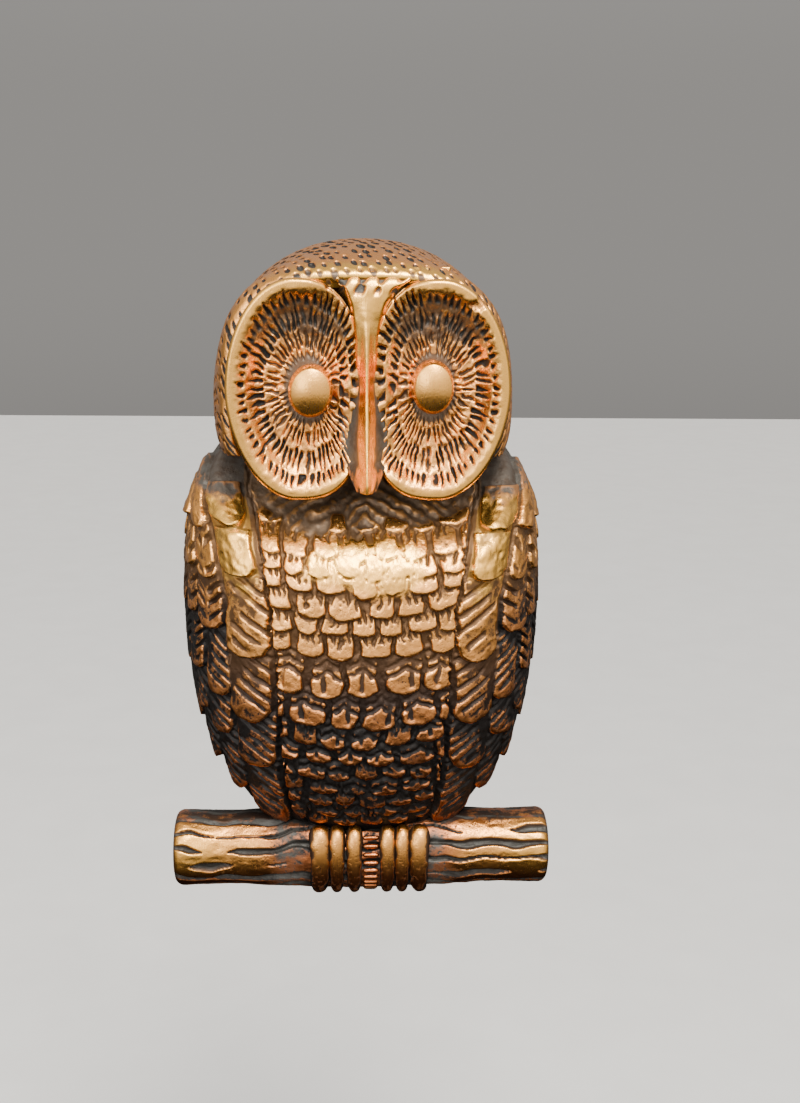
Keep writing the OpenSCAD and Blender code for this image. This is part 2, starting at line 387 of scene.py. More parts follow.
class Paint:
    """Builds one material round a Principled shader."""

    def __init__(self, name: str) -> None:
        """Starts an empty material.

        Args:
            name: Name of the material.
        """
        self.material = bpy.data.materials.new(name)
        self.material.use_nodes = True
        self.tree = self.material.node_tree
        self.shader = self.tree.nodes["Principled BSDF"]

    def node(self, kind: str, settings: dict | None = None, **sockets: object) -> bpy.types.Node:
        """Makes one node, with its settings before its sockets.

        Args:
            kind: Node type.
            settings: Attributes of the node, such as an operation.
            **sockets: Values or wires by socket name, with underscores for spaces.

        Returns:
            The node.
        """
        made = self.tree.nodes.new(kind)
        for key, value in (settings or {}).items():
            setattr(made, key, value)
        for key, value in sockets.items():
            slot = next(s for s in made.inputs if s.name == key.replace("_", " ") and s.enabled)
            self.feed(slot, value)
        return made

    def feed(self, slot: bpy.types.NodeSocket, value: object) -> None:
        """Links a wire to a socket, or sets the socket to a plain value."""
        if isinstance(value, Wire):
            self.tree.links.new(value.socket, slot)
        elif isinstance(value, bpy.types.NodeSocket):
            self.tree.links.new(value, slot)
        else:
            slot.default_value = value

    def attribute(self, name: str) -> Wire:
        """A float attribute of the mesh."""
        return Wire(self.tree, self.node("ShaderNodeAttribute", {"attribute_name": name}).outputs["Fac"])

    def place(self, stretch: tuple[float, float, float] = (1.0, 1.0, 1.0)) -> bpy.types.NodeSocket:
        """Object coordinates, stretched along the axes."""
        where = self.node("ShaderNodeTexCoord").outputs["Object"]
        return self.node("ShaderNodeMapping", Vector=where, Scale=stretch).outputs[0]

    def noise(
        self, scale: float, detail: float = 3.0, stretch: tuple[float, float, float] = (1.0, 1.0, 1.0)
    ) -> Wire:
        """Noise from 0 to 1 on object coordinates, scale in lumps per metre."""
        made = self.node("ShaderNodeTexNoise", Vector=self.place(stretch), Scale=scale, Detail=detail)
        return Wire(self.tree, made.outputs["Fac"])

    def ramp(self, value: Wire, low: float, high: float) -> Wire:
        """Smooth 0 to 1 as value goes from low to high."""
        made = self.node(
            "ShaderNodeMapRange",
            {"interpolation_type": "SMOOTHSTEP"},
            Value=value,
            From_Min=low,
            From_Max=high,
        )
        return Wire(self.tree, made.outputs[0])

    def blend(self, factor: Wire, low: object, high: object) -> bpy.types.NodeSocket:
        """A colour between two colours."""
        made = self.tree.nodes.new("ShaderNodeMix")
        made.data_type = "RGBA"
        self.feed(made.inputs[0], factor)
        self.feed(made.inputs[6], low)
        self.feed(made.inputs[7], high)
        return made.outputs[2]

    def set(self, **sockets: object) -> None:
        """Feeds the shader's sockets by name, with underscores for spaces."""
        for key, value in sockets.items():
            self.feed(self.shader.inputs[key.replace("_", " ")], value)

    def dent(self, height: Wire, strength: float, distance: float) -> bpy.types.NodeSocket:
        """A Bump node's normal from a height from 0 to 1."""
        return self.node("ShaderNodeBump", Height=height, Strength=strength, Distance=distance).outputs[0]


Colour = tuple[float, float, float, float]


@dataclass(frozen=True)
class AntiqueBrass:
    """Cast brass under a dark patina, rubbed back to copper colour on its high spots.

    Attributes:
        name: Name of the material.
        metal: Colour of the rubbed metal.
        bright: Colour of the brushed high spots and of the painted highlights.
        low_shade: Colour of the rubbed metal low down, made darker and browner as painted shade.
        patina: Colour of the recesses.
        raw: Colour of the grey patches that were never polished.
        low_shade_from: Height, in metres, below which the rubbed metal takes the painted shade colour.
        low_shade_to: Height, in metres, above which it has its own colour.
    """

    name: str
    metal: Colour = (0.83, 0.335, 0.100, 1.0)
    bright: Colour = (1.0, 0.54, 0.105, 1.0)
    low_shade: Colour = (0.44, 0.145, 0.05, 1.0)
    patina: Colour = (0.009, 0.0065, 0.0055, 1.0)
    raw: Colour = (0.095, 0.094, 0.084, 1.0)
    low_shade_from: float = -0.085
    low_shade_to: float = -0.015

    def make(self) -> bpy.types.Material:
        """Builds the material from the wear-and-shade, polish-and-highlight and raw attributes of a sculpted
        piece.
        """
        p = Paint(self.name)
        wear_and_shade, polish_and_highlight, raw = p.attribute("wear_and_shade"), p.attribute("polish_and_highlight"), p.attribute("raw")
        mottle = p.noise(420.0, 4.0)
        fine = p.noise(2600.0, 2.0)
        brushed = p.noise(900.0, 3.0, (3.2, 3.2, 0.16))
        pitting = p.ramp(p.noise(1300.0, 4.0), 0.56, 0.70) * (1.0 - polish_and_highlight).clamped()
        # Painted shade: where shade is painted into the wear value, less of the metal colour shows.
        metal_share = p.ramp(wear_and_shade + (mottle - 0.5) * 0.50 + (fine - 0.5) * 0.25 - pitting * 0.30, 0.36, 0.60)
        height = Wire(p.tree, p.node("ShaderNodeSeparateXYZ", Vector=p.place()).outputs["Z"])
        # Painted shade: the rubbed metal is made darker and browner towards the bottom of the knocker.
        upper = p.ramp(height + (p.noise(60.0, 2.0) - 0.5) * 0.03, self.low_shade_from, self.low_shade_to)
        metal = p.blend(upper, self.low_shade, self.metal)
        # Painted highlight: the polish mask, which also holds painted highlights, blends the metal towards
        # the bright colour.
        metal = p.blend((polish_and_highlight * (0.72 + 0.5 * brushed)).clamped(), metal, self.bright)
        grey = p.blend(p.ramp(mottle, 0.35, 0.7), self.raw, (0.055, 0.047, 0.038, 1.0))
        dark = p.blend(raw, self.patina, grey)
        keep = (metal_share * (1.0 - 0.72 * raw) + 0.35 * polish_and_highlight).clamped()
        p.set(
            Base_Color=p.blend(keep, dark, metal),
            Metallic=(0.55 + 0.45 * keep).clamped(),
            Roughness=(
                0.52 - 0.23 * keep - 0.02 * polish_and_highlight + 0.12 * (mottle - 0.5) + 0.10 * (brushed - 0.5)
            ).clamped(),
        )
        grain = fine * 0.55 + mottle * 0.45
        rough = p.dent(grain * (1.2 - polish_and_highlight) - pitting * 0.6 + brushed * polish_and_highlight * 0.5, 0.6, 0.00020)
        p.set(Normal=rough)
        return p.material


class Lay(Enum):
    """Direction in which a metal was worked."""

    ALONG_Z = (1.0, 1.0, 0.03)
    TURNED = (0.03, 1.0, 1.0)
    NONE = (1.0, 1.0, 1.0)


@dataclass(frozen=True)
class WorkedMetal:
    """Rolled, turned or plated metal with fine tool lines.

    Attributes:
        name: Name of the material.
        colour: Colour of the clean metal.
        dull: Colour of the tarnish that lies in patches.
        lay: Direction of the tool lines.
        gloss: Roughness of the clean metal.
    """

    name: str
    colour: Colour
    dull: Colour
    lay: Lay
    gloss: float

    def make(self) -> bpy.types.Material:
        """Builds the material."""
        p = Paint(self.name)
        lines = p.noise(2400.0, 3.0, self.lay.value)
        patch = p.ramp(p.noise(130.0, 5.0), 0.42, 0.72)
        p.set(
            Base_Color=p.blend((0.65 * patch + 0.25 * lines).clamped(), self.colour, self.dull),
            Metallic=1.0,
            Roughness=(self.gloss + 0.18 * patch + 0.14 * (lines - 0.5)).clamped(),
            Normal=p.dent(lines, 0.35, 0.00006),
        )
        return p.material


@dataclass(frozen=True)
class StudioFloor:
    """A plain pale floor."""

    name: str = "pale_floor"

    def make(self) -> bpy.types.Material:
        """Builds the material."""
        p = Paint(self.name)
        speck = p.noise(30.0, 4.0)
        p.set(Base_Color=p.blend(speck, (0.70, 0.70, 0.69, 1.0), (0.78, 0.78, 0.77, 1.0)), Roughness=0.75)
        return p.material


def dress(made: bpy.types.Object, finish: bpy.types.Material) -> None:
    """Gives a piece one material."""
    made.data.materials.clear()
    made.data.materials.append(finish)


# ---------------------------------------------------------------- patterns


def scatter(
    s: Array, r: Array, pitch_s: float, pitch_r: float, jitter: float, seed: int
) -> tuple[Array, Array, Array]:
    """The nearest centre of a staggered, jittered lattice of marks.

    Args:
        s: Position across, in millimetres.
        r: Position along, in millimetres.
        pitch_s: Spacing across.
        pitch_r: Spacing of the rows.
        jitter: Share of the spacing by which a centre may stray.
        seed: Seed of the strays.

    Returns:
        Offsets across and along from the nearest centre, and a random number for each mark.
    """
    table = np.random.default_rng(seed).random((64, 128, 3))
    row0 = np.floor(r / pitch_r).astype(int)
    best = np.full(s.shape, 1e9)
    ds, dr, pick = np.zeros_like(s), np.zeros_like(s), np.zeros_like(s)
    for dy in (-1, 0, 1):
        row = row0 + dy
        shift = 0.5 * (row % 2)
        col0 = np.floor(s / pitch_s - shift).astype(int)
        for dx in (-1, 0, 1):
            col = col0 + dx
            rnd = table[row % 64, col % 128]
            cs = (col + 0.5 + shift + jitter * (rnd[..., 0] - 0.5)) * pitch_s
            cr = (row + 0.5 + jitter * (rnd[..., 1] - 0.5)) * pitch_r
            gap = np.hypot((s - cs) / pitch_s, (r - cr) / pitch_r)
            nearer = gap < best
            best = np.where(nearer, gap, best)
            ds = np.where(nearer, s - cs, ds)
            dr = np.where(nearer, r - cr, dr)
            pick = np.where(nearer, rnd[..., 2], pick)
    return ds, dr, pick


def pits(
    s: Array, r: Array, length: float, width: float, lean: float, pitch: tuple[float, float], seed: int
) -> Array:
    """Slanted oval punch marks, 0 outside them and 1 at their floor.

    Args:
        s: Position across, in millimetres.
        r: Position along, in millimetres.
        length: Length of a mark.
        width: Width of a mark.
        lean: Sideways lean of a mark over its length.
        pitch: Spacing across and along.
        seed: Seed of the strays.

    Returns:
        The marks.
    """
    ds, dr, pick = scatter(s, r, pitch[0], pitch[1], 0.42, seed)
    size = 0.72 + 0.5 * pick
    gauge = np.hypot((ds - lean * dr) / (0.5 * width * size), dr / (0.5 * length * size))
    return (1.0 - smooth(0.55, 1.12, gauge)) * (0.75 + 0.25 * pick)


def rays(u: Array, rho: Array, count: int, start: float, end: float, width: float, seed: int) -> Array:
    """Wedge cuts that run out from an eye, pointed at their outer ends.

    Args:
        u: Share of the way round the disc.
        rho: Share of the way from the eye to the rim.
        count: Number of cuts.
        start: Where the cuts begin.
        end: Where the cuts end.
        width: Width of a cut, as a share of its spacing.
        seed: Seed of the differences between cuts.

    Returns:
        Depth of the cuts from 0 to 1.
    """
    noise = Noise(seed)
    phase = u * count + 0.30 * (noise.value(rho * 9.0, u * count * 0.5) - 0.5)
    index = np.floor(phase).astype(int) % count
    table = np.random.default_rng(seed + 1).random((count, 4))
    off = phase - np.floor(phase) - 0.5 + 0.22 * (table[index, 3] - 0.5)
    begin = start + 0.10 * (table[index, 0] - 0.5) * (end - start) * 2.0
    finish = end - 0.35 * table[index, 1] * (end - start)
    along = smooth(begin, begin + 0.04, rho) * (1.0 - smooth(finish - 0.05, finish + 0.01, rho))
    taper = width * (1.0 - 0.65 * smooth(begin, finish, rho))
    return (0.55 + 0.45 * table[index, 2]) * along * (1.0 - smooth(0.35 * taper, taper, np.abs(off)))


# ---------------------------------------------------------------- repeated details


@dataclass(frozen=True)
class Repeat:
    """Copies of one source mesh on a row of points, made with Geometry Nodes and baked to one mesh.

    Attributes:
        name: Name of the finished piece.
        source: The mesh that is copied; it is removed afterwards.
        finish: Material of the copies.
    """

    name: str
    source: bpy.types.Object
    finish: bpy.types.Material

    def tree(self) -> bpy.types.NodeTree:
        """The node group: points in, realized copies out."""
        group = bpy.data.node_groups.new(f"{self.name}_copies", "GeometryNodeTree")
        group.interface.new_socket("Points", in_out="INPUT", socket_type="NodeSocketGeometry")
        group.interface.new_socket("Source", in_out="INPUT", socket_type="NodeSocketObject")
        group.interface.new_socket("Finish", in_out="INPUT", socket_type="NodeSocketMaterial")
        group.interface.new_socket("Overall Size", in_out="INPUT", socket_type="NodeSocketFloat")
        group.interface.new_socket("Copies", in_out="OUTPUT", socket_type="NodeSocketGeometry")
        start = group.nodes.new("NodeGroupInput")
        end = group.nodes.new("NodeGroupOutput")
        info = group.nodes.new("GeometryNodeObjectInfo")
        scatter_on = group.nodes.new("GeometryNodeInstanceOnPoints")
        real = group.nodes.new("GeometryNodeRealizeInstances")
        paint = group.nodes.new("GeometryNodeSetMaterial")
        turn = group.nodes.new("GeometryNodeInputNamedAttribute")
        turn.data_type = "FLOAT_VECTOR"
        turn.inputs["Name"].default_value = "turn"
        size = group.nodes.new("GeometryNodeInputNamedAttribute")
        size.data_type = "FLOAT_VECTOR"
        size.inputs["Name"].default_value = "size"
        scaled = group.nodes.new("ShaderNodeVectorMath")
        scaled.operation = "SCALE"
        link = group.links.new
        link(start.outputs["Source"], info.inputs["Object"])
        link(start.outputs["Points"], scatter_on.inputs["Points"])
        link(info.outputs["Geometry"], scatter_on.inputs["Instance"])
        link(turn.outputs["Attribute"], scatter_on.inputs["Rotation"])
        link(size.outputs["Attribute"], scaled.inputs[0])
        link(start.outputs["Overall Size"], scaled.inputs["Scale"])
        link(scaled.outputs[0], scatter_on.inputs["Scale"])
        link(scatter_on.outputs["Instances"], real.inputs["Geometry"])
        link(real.outputs["Geometry"], paint.inputs["Geometry"])
        link(start.outputs["Finish"], paint.inputs["Material"])
        link(paint.outputs["Geometry"], end.inputs["Copies"])
        return group

    def bake(self, places: Sequence[tuple[Vector, Vector, Vector]]) -> bpy.types.Object:
        """Copies the source to each place.

        Args:
            places: Position in millimetres, Euler turn in radians and scale of each copy.

        Returns:
            One object with all the copies.
        """
        points = bpy.data.meshes.new(f"{self.name}_points")
        points.from_pydata([tuple(Vector(p) * MM) for p, _, _ in places], [], [])
        for title, index in (("turn", 1), ("size", 2)):
            flat = [value for place in places for value in place[index]]
            points.attributes.new(title, "FLOAT_VECTOR", "POINT").data.foreach_set("vector", flat)
        host = bpy.data.objects.new(f"{self.name}_host", points)
        bpy.context.scene.collection.objects.link(host)
        group = self.tree()
        modifier = host.modifiers.new("Copies", "NODES")
        modifier.node_group = group
        keys = {item.name: item.identifier for item in group.interface.items_tree if item.in_out == "INPUT"}
        modifier[keys["Source"]] = self.source
        modifier[keys["Finish"]] = self.finish
        modifier[keys["Overall Size"]] = 1.0
        bpy.context.view_layer.update()
        ready = host.evaluated_get(bpy.context.evaluated_depsgraph_get())
        mesh = bpy.data.meshes.new_from_object(ready)
        host.modifiers.clear()
        made = bpy.data.objects.new(self.name, mesh)
        bpy.context.scene.collection.objects.link(made)
        bpy.data.objects.remove(host)
        bpy.data.objects.remove(self.source)
        return made


def declare(piece: bpy.types.Object, body: str, slot: str, *nodes: str) -> None:
    """Rides a piece on a body, hides the CAD nodes that it replaces, and logs it."""
    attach(piece, body)
    if nodes:
        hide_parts(*nodes)
    LOG.info("%s on %s: %d faces", piece.name, body, len(piece.data.polygons))


# ---------------------------------------------------------------- swinging body


@dataclass(frozen=True)
class BodyForm:
    """The smooth shape under the feathers, in millimetres.

    Attributes:
        half_width: Half the width across the wings.
        widest_z: Height of the widest place.
        rise: Reach of the outline above it, before the shoulders are cut flat.
        drop: Reach of the outline below it.
        shoulder_z: Height of the flat shoulders.
        standoff: Distance from the door to the rear edge.
        depth: Depth of the body in front of its rear edge.
        wall: Thickness of the casting.
        lowest_z: Height at which the skin ends inside the perch.
        upper_power: Squareness of the outline above the widest place.
        lower_power: Squareness of the outline below it.
        depth_power: Squareness of the section from the edge to the breast.
        caps: Height and largest share of the depth under the chin.
    """

    half_width: float = 47.9
    widest_z: float = -24.0
    rise: float = 52.3
    drop: float = 76.0
    shoulder_z: float = 13.7
    standoff: float = 5.0
    depth: float = 42.2
    wall: float = 3.5
    lowest_z: float = -98.0
    upper_power: float = 2.6
    lower_power: float = 2.25
    depth_power: float = 2.3
    caps: tuple[tuple[float, float], ...] = (
        (-26.0, 1.0),
        (-19.9, 0.993),
        (-15.0, 0.965),
        (-10.8, 0.905),
        (-6.7, 0.82),
        (-3.6, 0.73),
        (-0.6, 0.62),
        (4.1, 0.52),
        (8.6, 0.40),
        (11.8, 0.28),
        (13.7, 0.16),
    )

    def outline(self, z: float) -> tuple[float, float]:
        """Squareness of the outline at a height, and that height as a share of the outline's reach."""
        if z < self.widest_z:
            return self.lower_power, (self.widest_z - z) / self.drop
        return self.upper_power, (z - self.widest_z) / self.rise

    def half_span(self, z: float) -> float:
        """Half the width of the rear edge at a height."""
        power, away = self.outline(z)
        return self.half_width * (1.0 - away**power) ** (1 / power)

    def depth_at(self, x: Array, z: float) -> Array:
        """Distance of the skin from the door."""
        across = np.abs(x) / self.half_width
        power, away = self.outline(z)
        gauge = (across**power + away**power) ** (1 / power)
        share = np.clip(1.0 - gauge**self.depth_power, 0.0, 1.0) ** (1 / self.depth_power)
        heights, limits = zip(*self.caps)
        near = z + np.linspace(-2.0, 2.0, 9)
        cap = float(np.mean(np.interp(near, heights, limits)))
        return self.standoff + self.depth * np.maximum(soft_min(share, np.full_like(share, cap), 0.10), 0.0)

    def groove(self, z: Array) -> Array:
        """Distance from the middle of the groove between the breast and a wing."""
        heights = (-98.0, -80.0, -68.0, -50.0, -22.0, -11.0, -4.0, 5.0, 13.7)
        places = (8.0, 18.5, 20.5, 21.5, 23.0, 25.5, 26.5, 29.0, 30.0)
        span = np.array([self.half_span(v) for v in np.atleast_1d(z)])
        return np.minimum(np.interp(z, heights, places), 0.72 * span)


@dataclass(frozen=True)
class ScaleRow:
    """One row of overlapping breast scales.

    Attributes:
        z: Height of the lowest scale edge in the middle.
        width: Width of a scale.
        shift: Sideways shift, as a share of a width.
        thick: Height of the lower edge above the casting.
        visible: Length that shows below the row above.
        chevron: Share of the row's scales that carry chevron ridges instead of notches.
    """

    z: float
    width: float
    shift: float
    thick: float
    visible: float
    chevron: float


BREAST_ROWS = (
    ScaleRow(-4.8, 7.8, 0.60, 1.3, 12.0, 0.0),
    ScaleRow(-11.0, 7.4, 0.75, 1.5, 6.2, 0.0),
    ScaleRow(-15.2, 6.6, 0.20, 1.7, 4.4, 0.0),
    ScaleRow(-19.4, 7.6, 0.62, 1.7, 4.4, 0.0),
    ScaleRow(-24.6, 8.0, 0.05, 1.8, 4.8, 0.0),
    ScaleRow(-29.4, 7.2, 0.55, 1.8, 4.6, 0.0),
    ScaleRow(-35.4, 8.4, 0.10, 1.8, 5.4, 0.1),
    ScaleRow(-45.2, 9.2, 0.52, 1.9, 9.4, 1.0),
    ScaleRow(-53.6, 9.6, 0.00, 1.8, 8.2, 1.0),
    ScaleRow(-59.0, 8.0, 0.45, 1.5, 5.6, 0.7),
    ScaleRow(-64.4, 8.6, 0.95, 1.4, 5.2, 0.9),
    ScaleRow(-69.0, 7.0, 0.35, 1.2, 4.4, 0.6),
    ScaleRow(-73.4, 8.4, 0.80, 1.2, 4.2, 0.8),
    ScaleRow(-77.4, 7.0, 0.20, 1.1, 3.8, 0.6),
    ScaleRow(-81.0, 7.6, 0.70, 1.0, 3.4, 0.8),
    ScaleRow(-84.6, 7.0, 0.10, 1.0, 3.4, 0.6),
)


def scale_relief(x: Array, z: Array, row: ScaleRow, number: int) -> Array:
    """Height of one row of scales over the casting, 0 below its lower edges.

    Args:
        x: Distance from the middle.
        z: Height.
        row: The row.
        number: Number of the row, for its random differences.

    Returns:
        The height in millimetres.
    """
    table = np.random.default_rng(400 + number).random((64, 5))
    warp = Noise(30 + number)
    xs = x + 1.9 * warp.fractal(x, z, 9.0, 2) + 0.5 * warp.fractal(x + 20.0, z, 2.6, 2)
    phase = xs / row.width + row.shift
    index = np.floor(phase).astype(int) % 64
    wander = 0.16 * (table[index, 0] - 0.5)
    u = 2.0 * (phase - np.floor(phase)) - 1.0 + wander
    lobe = 0.5 * row.width * (0.52 + 0.25 * table[index, 1])
    round_end = lobe * (1.0 - np.sqrt(np.clip(1.0 - u * u, 0.0, 1.0)))
    base = row.z + 0.0042 * x * x + 1.2 * (table[index, 2] - 0.5)
    v = z - base - round_end + 0.55 * warp.fractal(x + 90.0, z, 3.0, 3)
    reach = row.visible + 4.0
    top = row.thick * (0.85 + 0.3 * table[index, 3])
    height = top * np.clip(1.0 - v / reach, 0.0, 1.0) ** 0.8
    height += 0.28 * (1.0 - u * u) * smooth(-0.2, 1.0, v)
    height *= smooth(-0.15, 0.30, v) * (1.0 - smooth(0.74, 0.93, np.abs(u)))
    with_chevron = table[index, 4] < row.chevron
    local_x = u * 0.5 * row.width
    ridge = v - (0.66 * row.visible - 0.80 * np.abs(local_x)) + 0.5 * warp.fractal(x + 40.0, z, 2.2, 2)
    lines = (0.5 - 0.5 * np.cos(TAU * np.clip(ridge, 0.0, None) / 2.3)) ** 1.6
    ragged = warp.fractal(x, z + 60.0, 1.6, 2)
    teeth = (1.3 + 1.2 * table[index, 2]) * (u + 0.26 * ragged) + table[index, 0]
    notch_wave = (0.5 + 0.5 * np.cos(TAU * teeth)) ** 3.2
    notches = notch_wave * smooth(0.56 * row.visible, 0.82 * row.visible, v + 1.3 * ragged)
    strength = 0.5 + 0.5 * table[index, 1]
    chevrons = smooth(0.0, 0.5, ridge) * (0.30 + 0.50 * lines * strength + 0.35 * ragged)
    split = 0.5 * smooth(0.22, 0.05, np.abs(u - 0.5 + table[index, 3])) * smooth(0.9, 2.2, v)
    cut = np.where(with_chevron, np.maximum(chevrons, split), 0.75 * notches)
    return np.maximum(height - cut * (height > 0.0), 0.0)


@dataclass(frozen=True)
class Feather:
    """One tongue-shaped wing feather.

    Attributes:
        across: Distance of its middle from the groove, along the skin.
        half: Half its width.
        top: Height of its upper end.
        low: Height of its rounded lower end.
        barb: Spacing of the cuts, or 0 for a smooth feather.
        leaf: Whether the cuts meet on a middle rib.
    """

    across: float
    half: float
    top: float
    low: float
    barb: float
    leaf: bool


WING_FEATHERS = (
    Feather(7.0, 5.4, 6.0, -4.0, 0.0, False),
    Feather(7.0, 5.8, -4.2, -15.5, 0.0, False),
    Feather(6.8, 6.4, -15.0, -36.0, 3.6, False),
    Feather(7.4, 6.4, -34.0, -53.0, 3.0, False),
    Feather(7.0, 6.2, -51.0, -66.5, 2.4, False),
    Feather(6.6, 5.6, -64.0, -84.0, 2.2, False),
    Feather(19.0, 4.4, 11.0, -5.0, 0.0, False),
    Feather(19.0, 4.2, -4.0, -17.0, 5.0, True),
    Feather(19.6, 5.4, -15.0, -30.5, 3.0, True),
    Feather(17.6, 4.6, -30.0, -48.0, 2.6, False),
    Feather(18.6, 5.0, -46.0, -59.0, 2.2, False),
    Feather(16.6, 4.8, -57.0, -76.0, 2.2, False),
    Feather(28.5, 4.8, 11.0, -3.5, 0.0, False),
    Feather(28.0, 4.4, -3.0, -15.5, 4.0, True),
    Feather(28.5, 4.6, -13.0, -27.5, 3.0, True),
    Feather(27.5, 4.4, -26.0, -42.5, 2.4, True),
    Feather(27.0, 4.4, -40.0, -54.0, 2.2, False),
    Feather(25.5, 4.2, -52.0, -69.0, 2.2, False),
    Feather(37.5, 4.6, 8.0, -10.0, 3.4, True),
    Feather(37.0, 4.6, -8.0, -26.5, 3.2, True),
    Feather(36.5, 4.6, -24.0, -42.5, 2.6, True),
    Feather(35.5, 4.4, -40.0, -59.0, 2.4, False),
    Feather(45.5, 3.8, 4.0, -18.0, 3.4, True),
    Feather(45.0, 3.8, -16.0, -38.0, 3.0, True),
)


def feather_relief(s: Array, z: Array, feather: Feather, number: int) -> Array:
    """Height of one feather over the casting.

    Args:
        s: Distance from the groove along the skin.
        z: Height.
        feather: The feather.
        number: Its number, for its random differences.

    Returns:
        The height in millimetres, 0 away from the feather.
    """
    near = Noise(900 + number)
    u = (s - feather.across + 1.1 * near.fractal(s, z, 7.0, 3)) / feather.half
    length = feather.top - feather.low
    tip = 0.85 * feather.half * (1.0 - np.sqrt(np.clip(1.0 - np.abs(u) ** 2.2, 0.0, 1.0)))
    v = z - feather.low - tip + 0.8 * near.fractal(s + 50.0, z, 4.0, 2)
    height = 2.0 - 1.3 * np.clip(v / length, 0.0, 1.0)
    inside = smooth(-0.2, 0.5, v) * (1.0 - smooth(0.88, 1.04, np.abs(u)))
    inside = inside * (1.0 - smooth(0.0, 1.0, z - feather.top))
    dome = 0.60 if feather.barb > 0.0 else 1.20
    height += dome * (1.0 - u * u) + 0.5 * dome * near.fractal(s, z + 70.0, 3.6, 3)
    cut = np.zeros_like(height)
    if feather.barb > 0.0:
        slant = (np.abs(u) if feather.leaf else u) * feather.half
        wave = z - 0.62 * slant + 0.35 * near.fractal(s + 30.0, z, 3.0, 2)
        phase = wave / (1.25 * feather.barb)
        barb = np.floor(phase).astype(int) % 32
        table = np.random.default_rng(700 + number).random((32, 3))
        off = np.abs(phase - np.floor(phase) - 0.35 - 0.3 * table[barb, 0])
        line = 1.0 - smooth(0.08, 0.24, off)
        zone = smooth(0.14 * length, 0.30 * length, v + 1.6 * table[barb, 1])
        if feather.leaf:
            zone = zone * smooth(0.08, 0.22, np.abs(u))
        else:
            zone = zone * (1.0 - smooth(0.05, 0.30, u - 0.65 * table[barb, 2]))
        cut = 1.05 * line * zone * (0.55 + 0.45 * table[barb, 1])
    return np.maximum(height - cut, 0.15) * inside


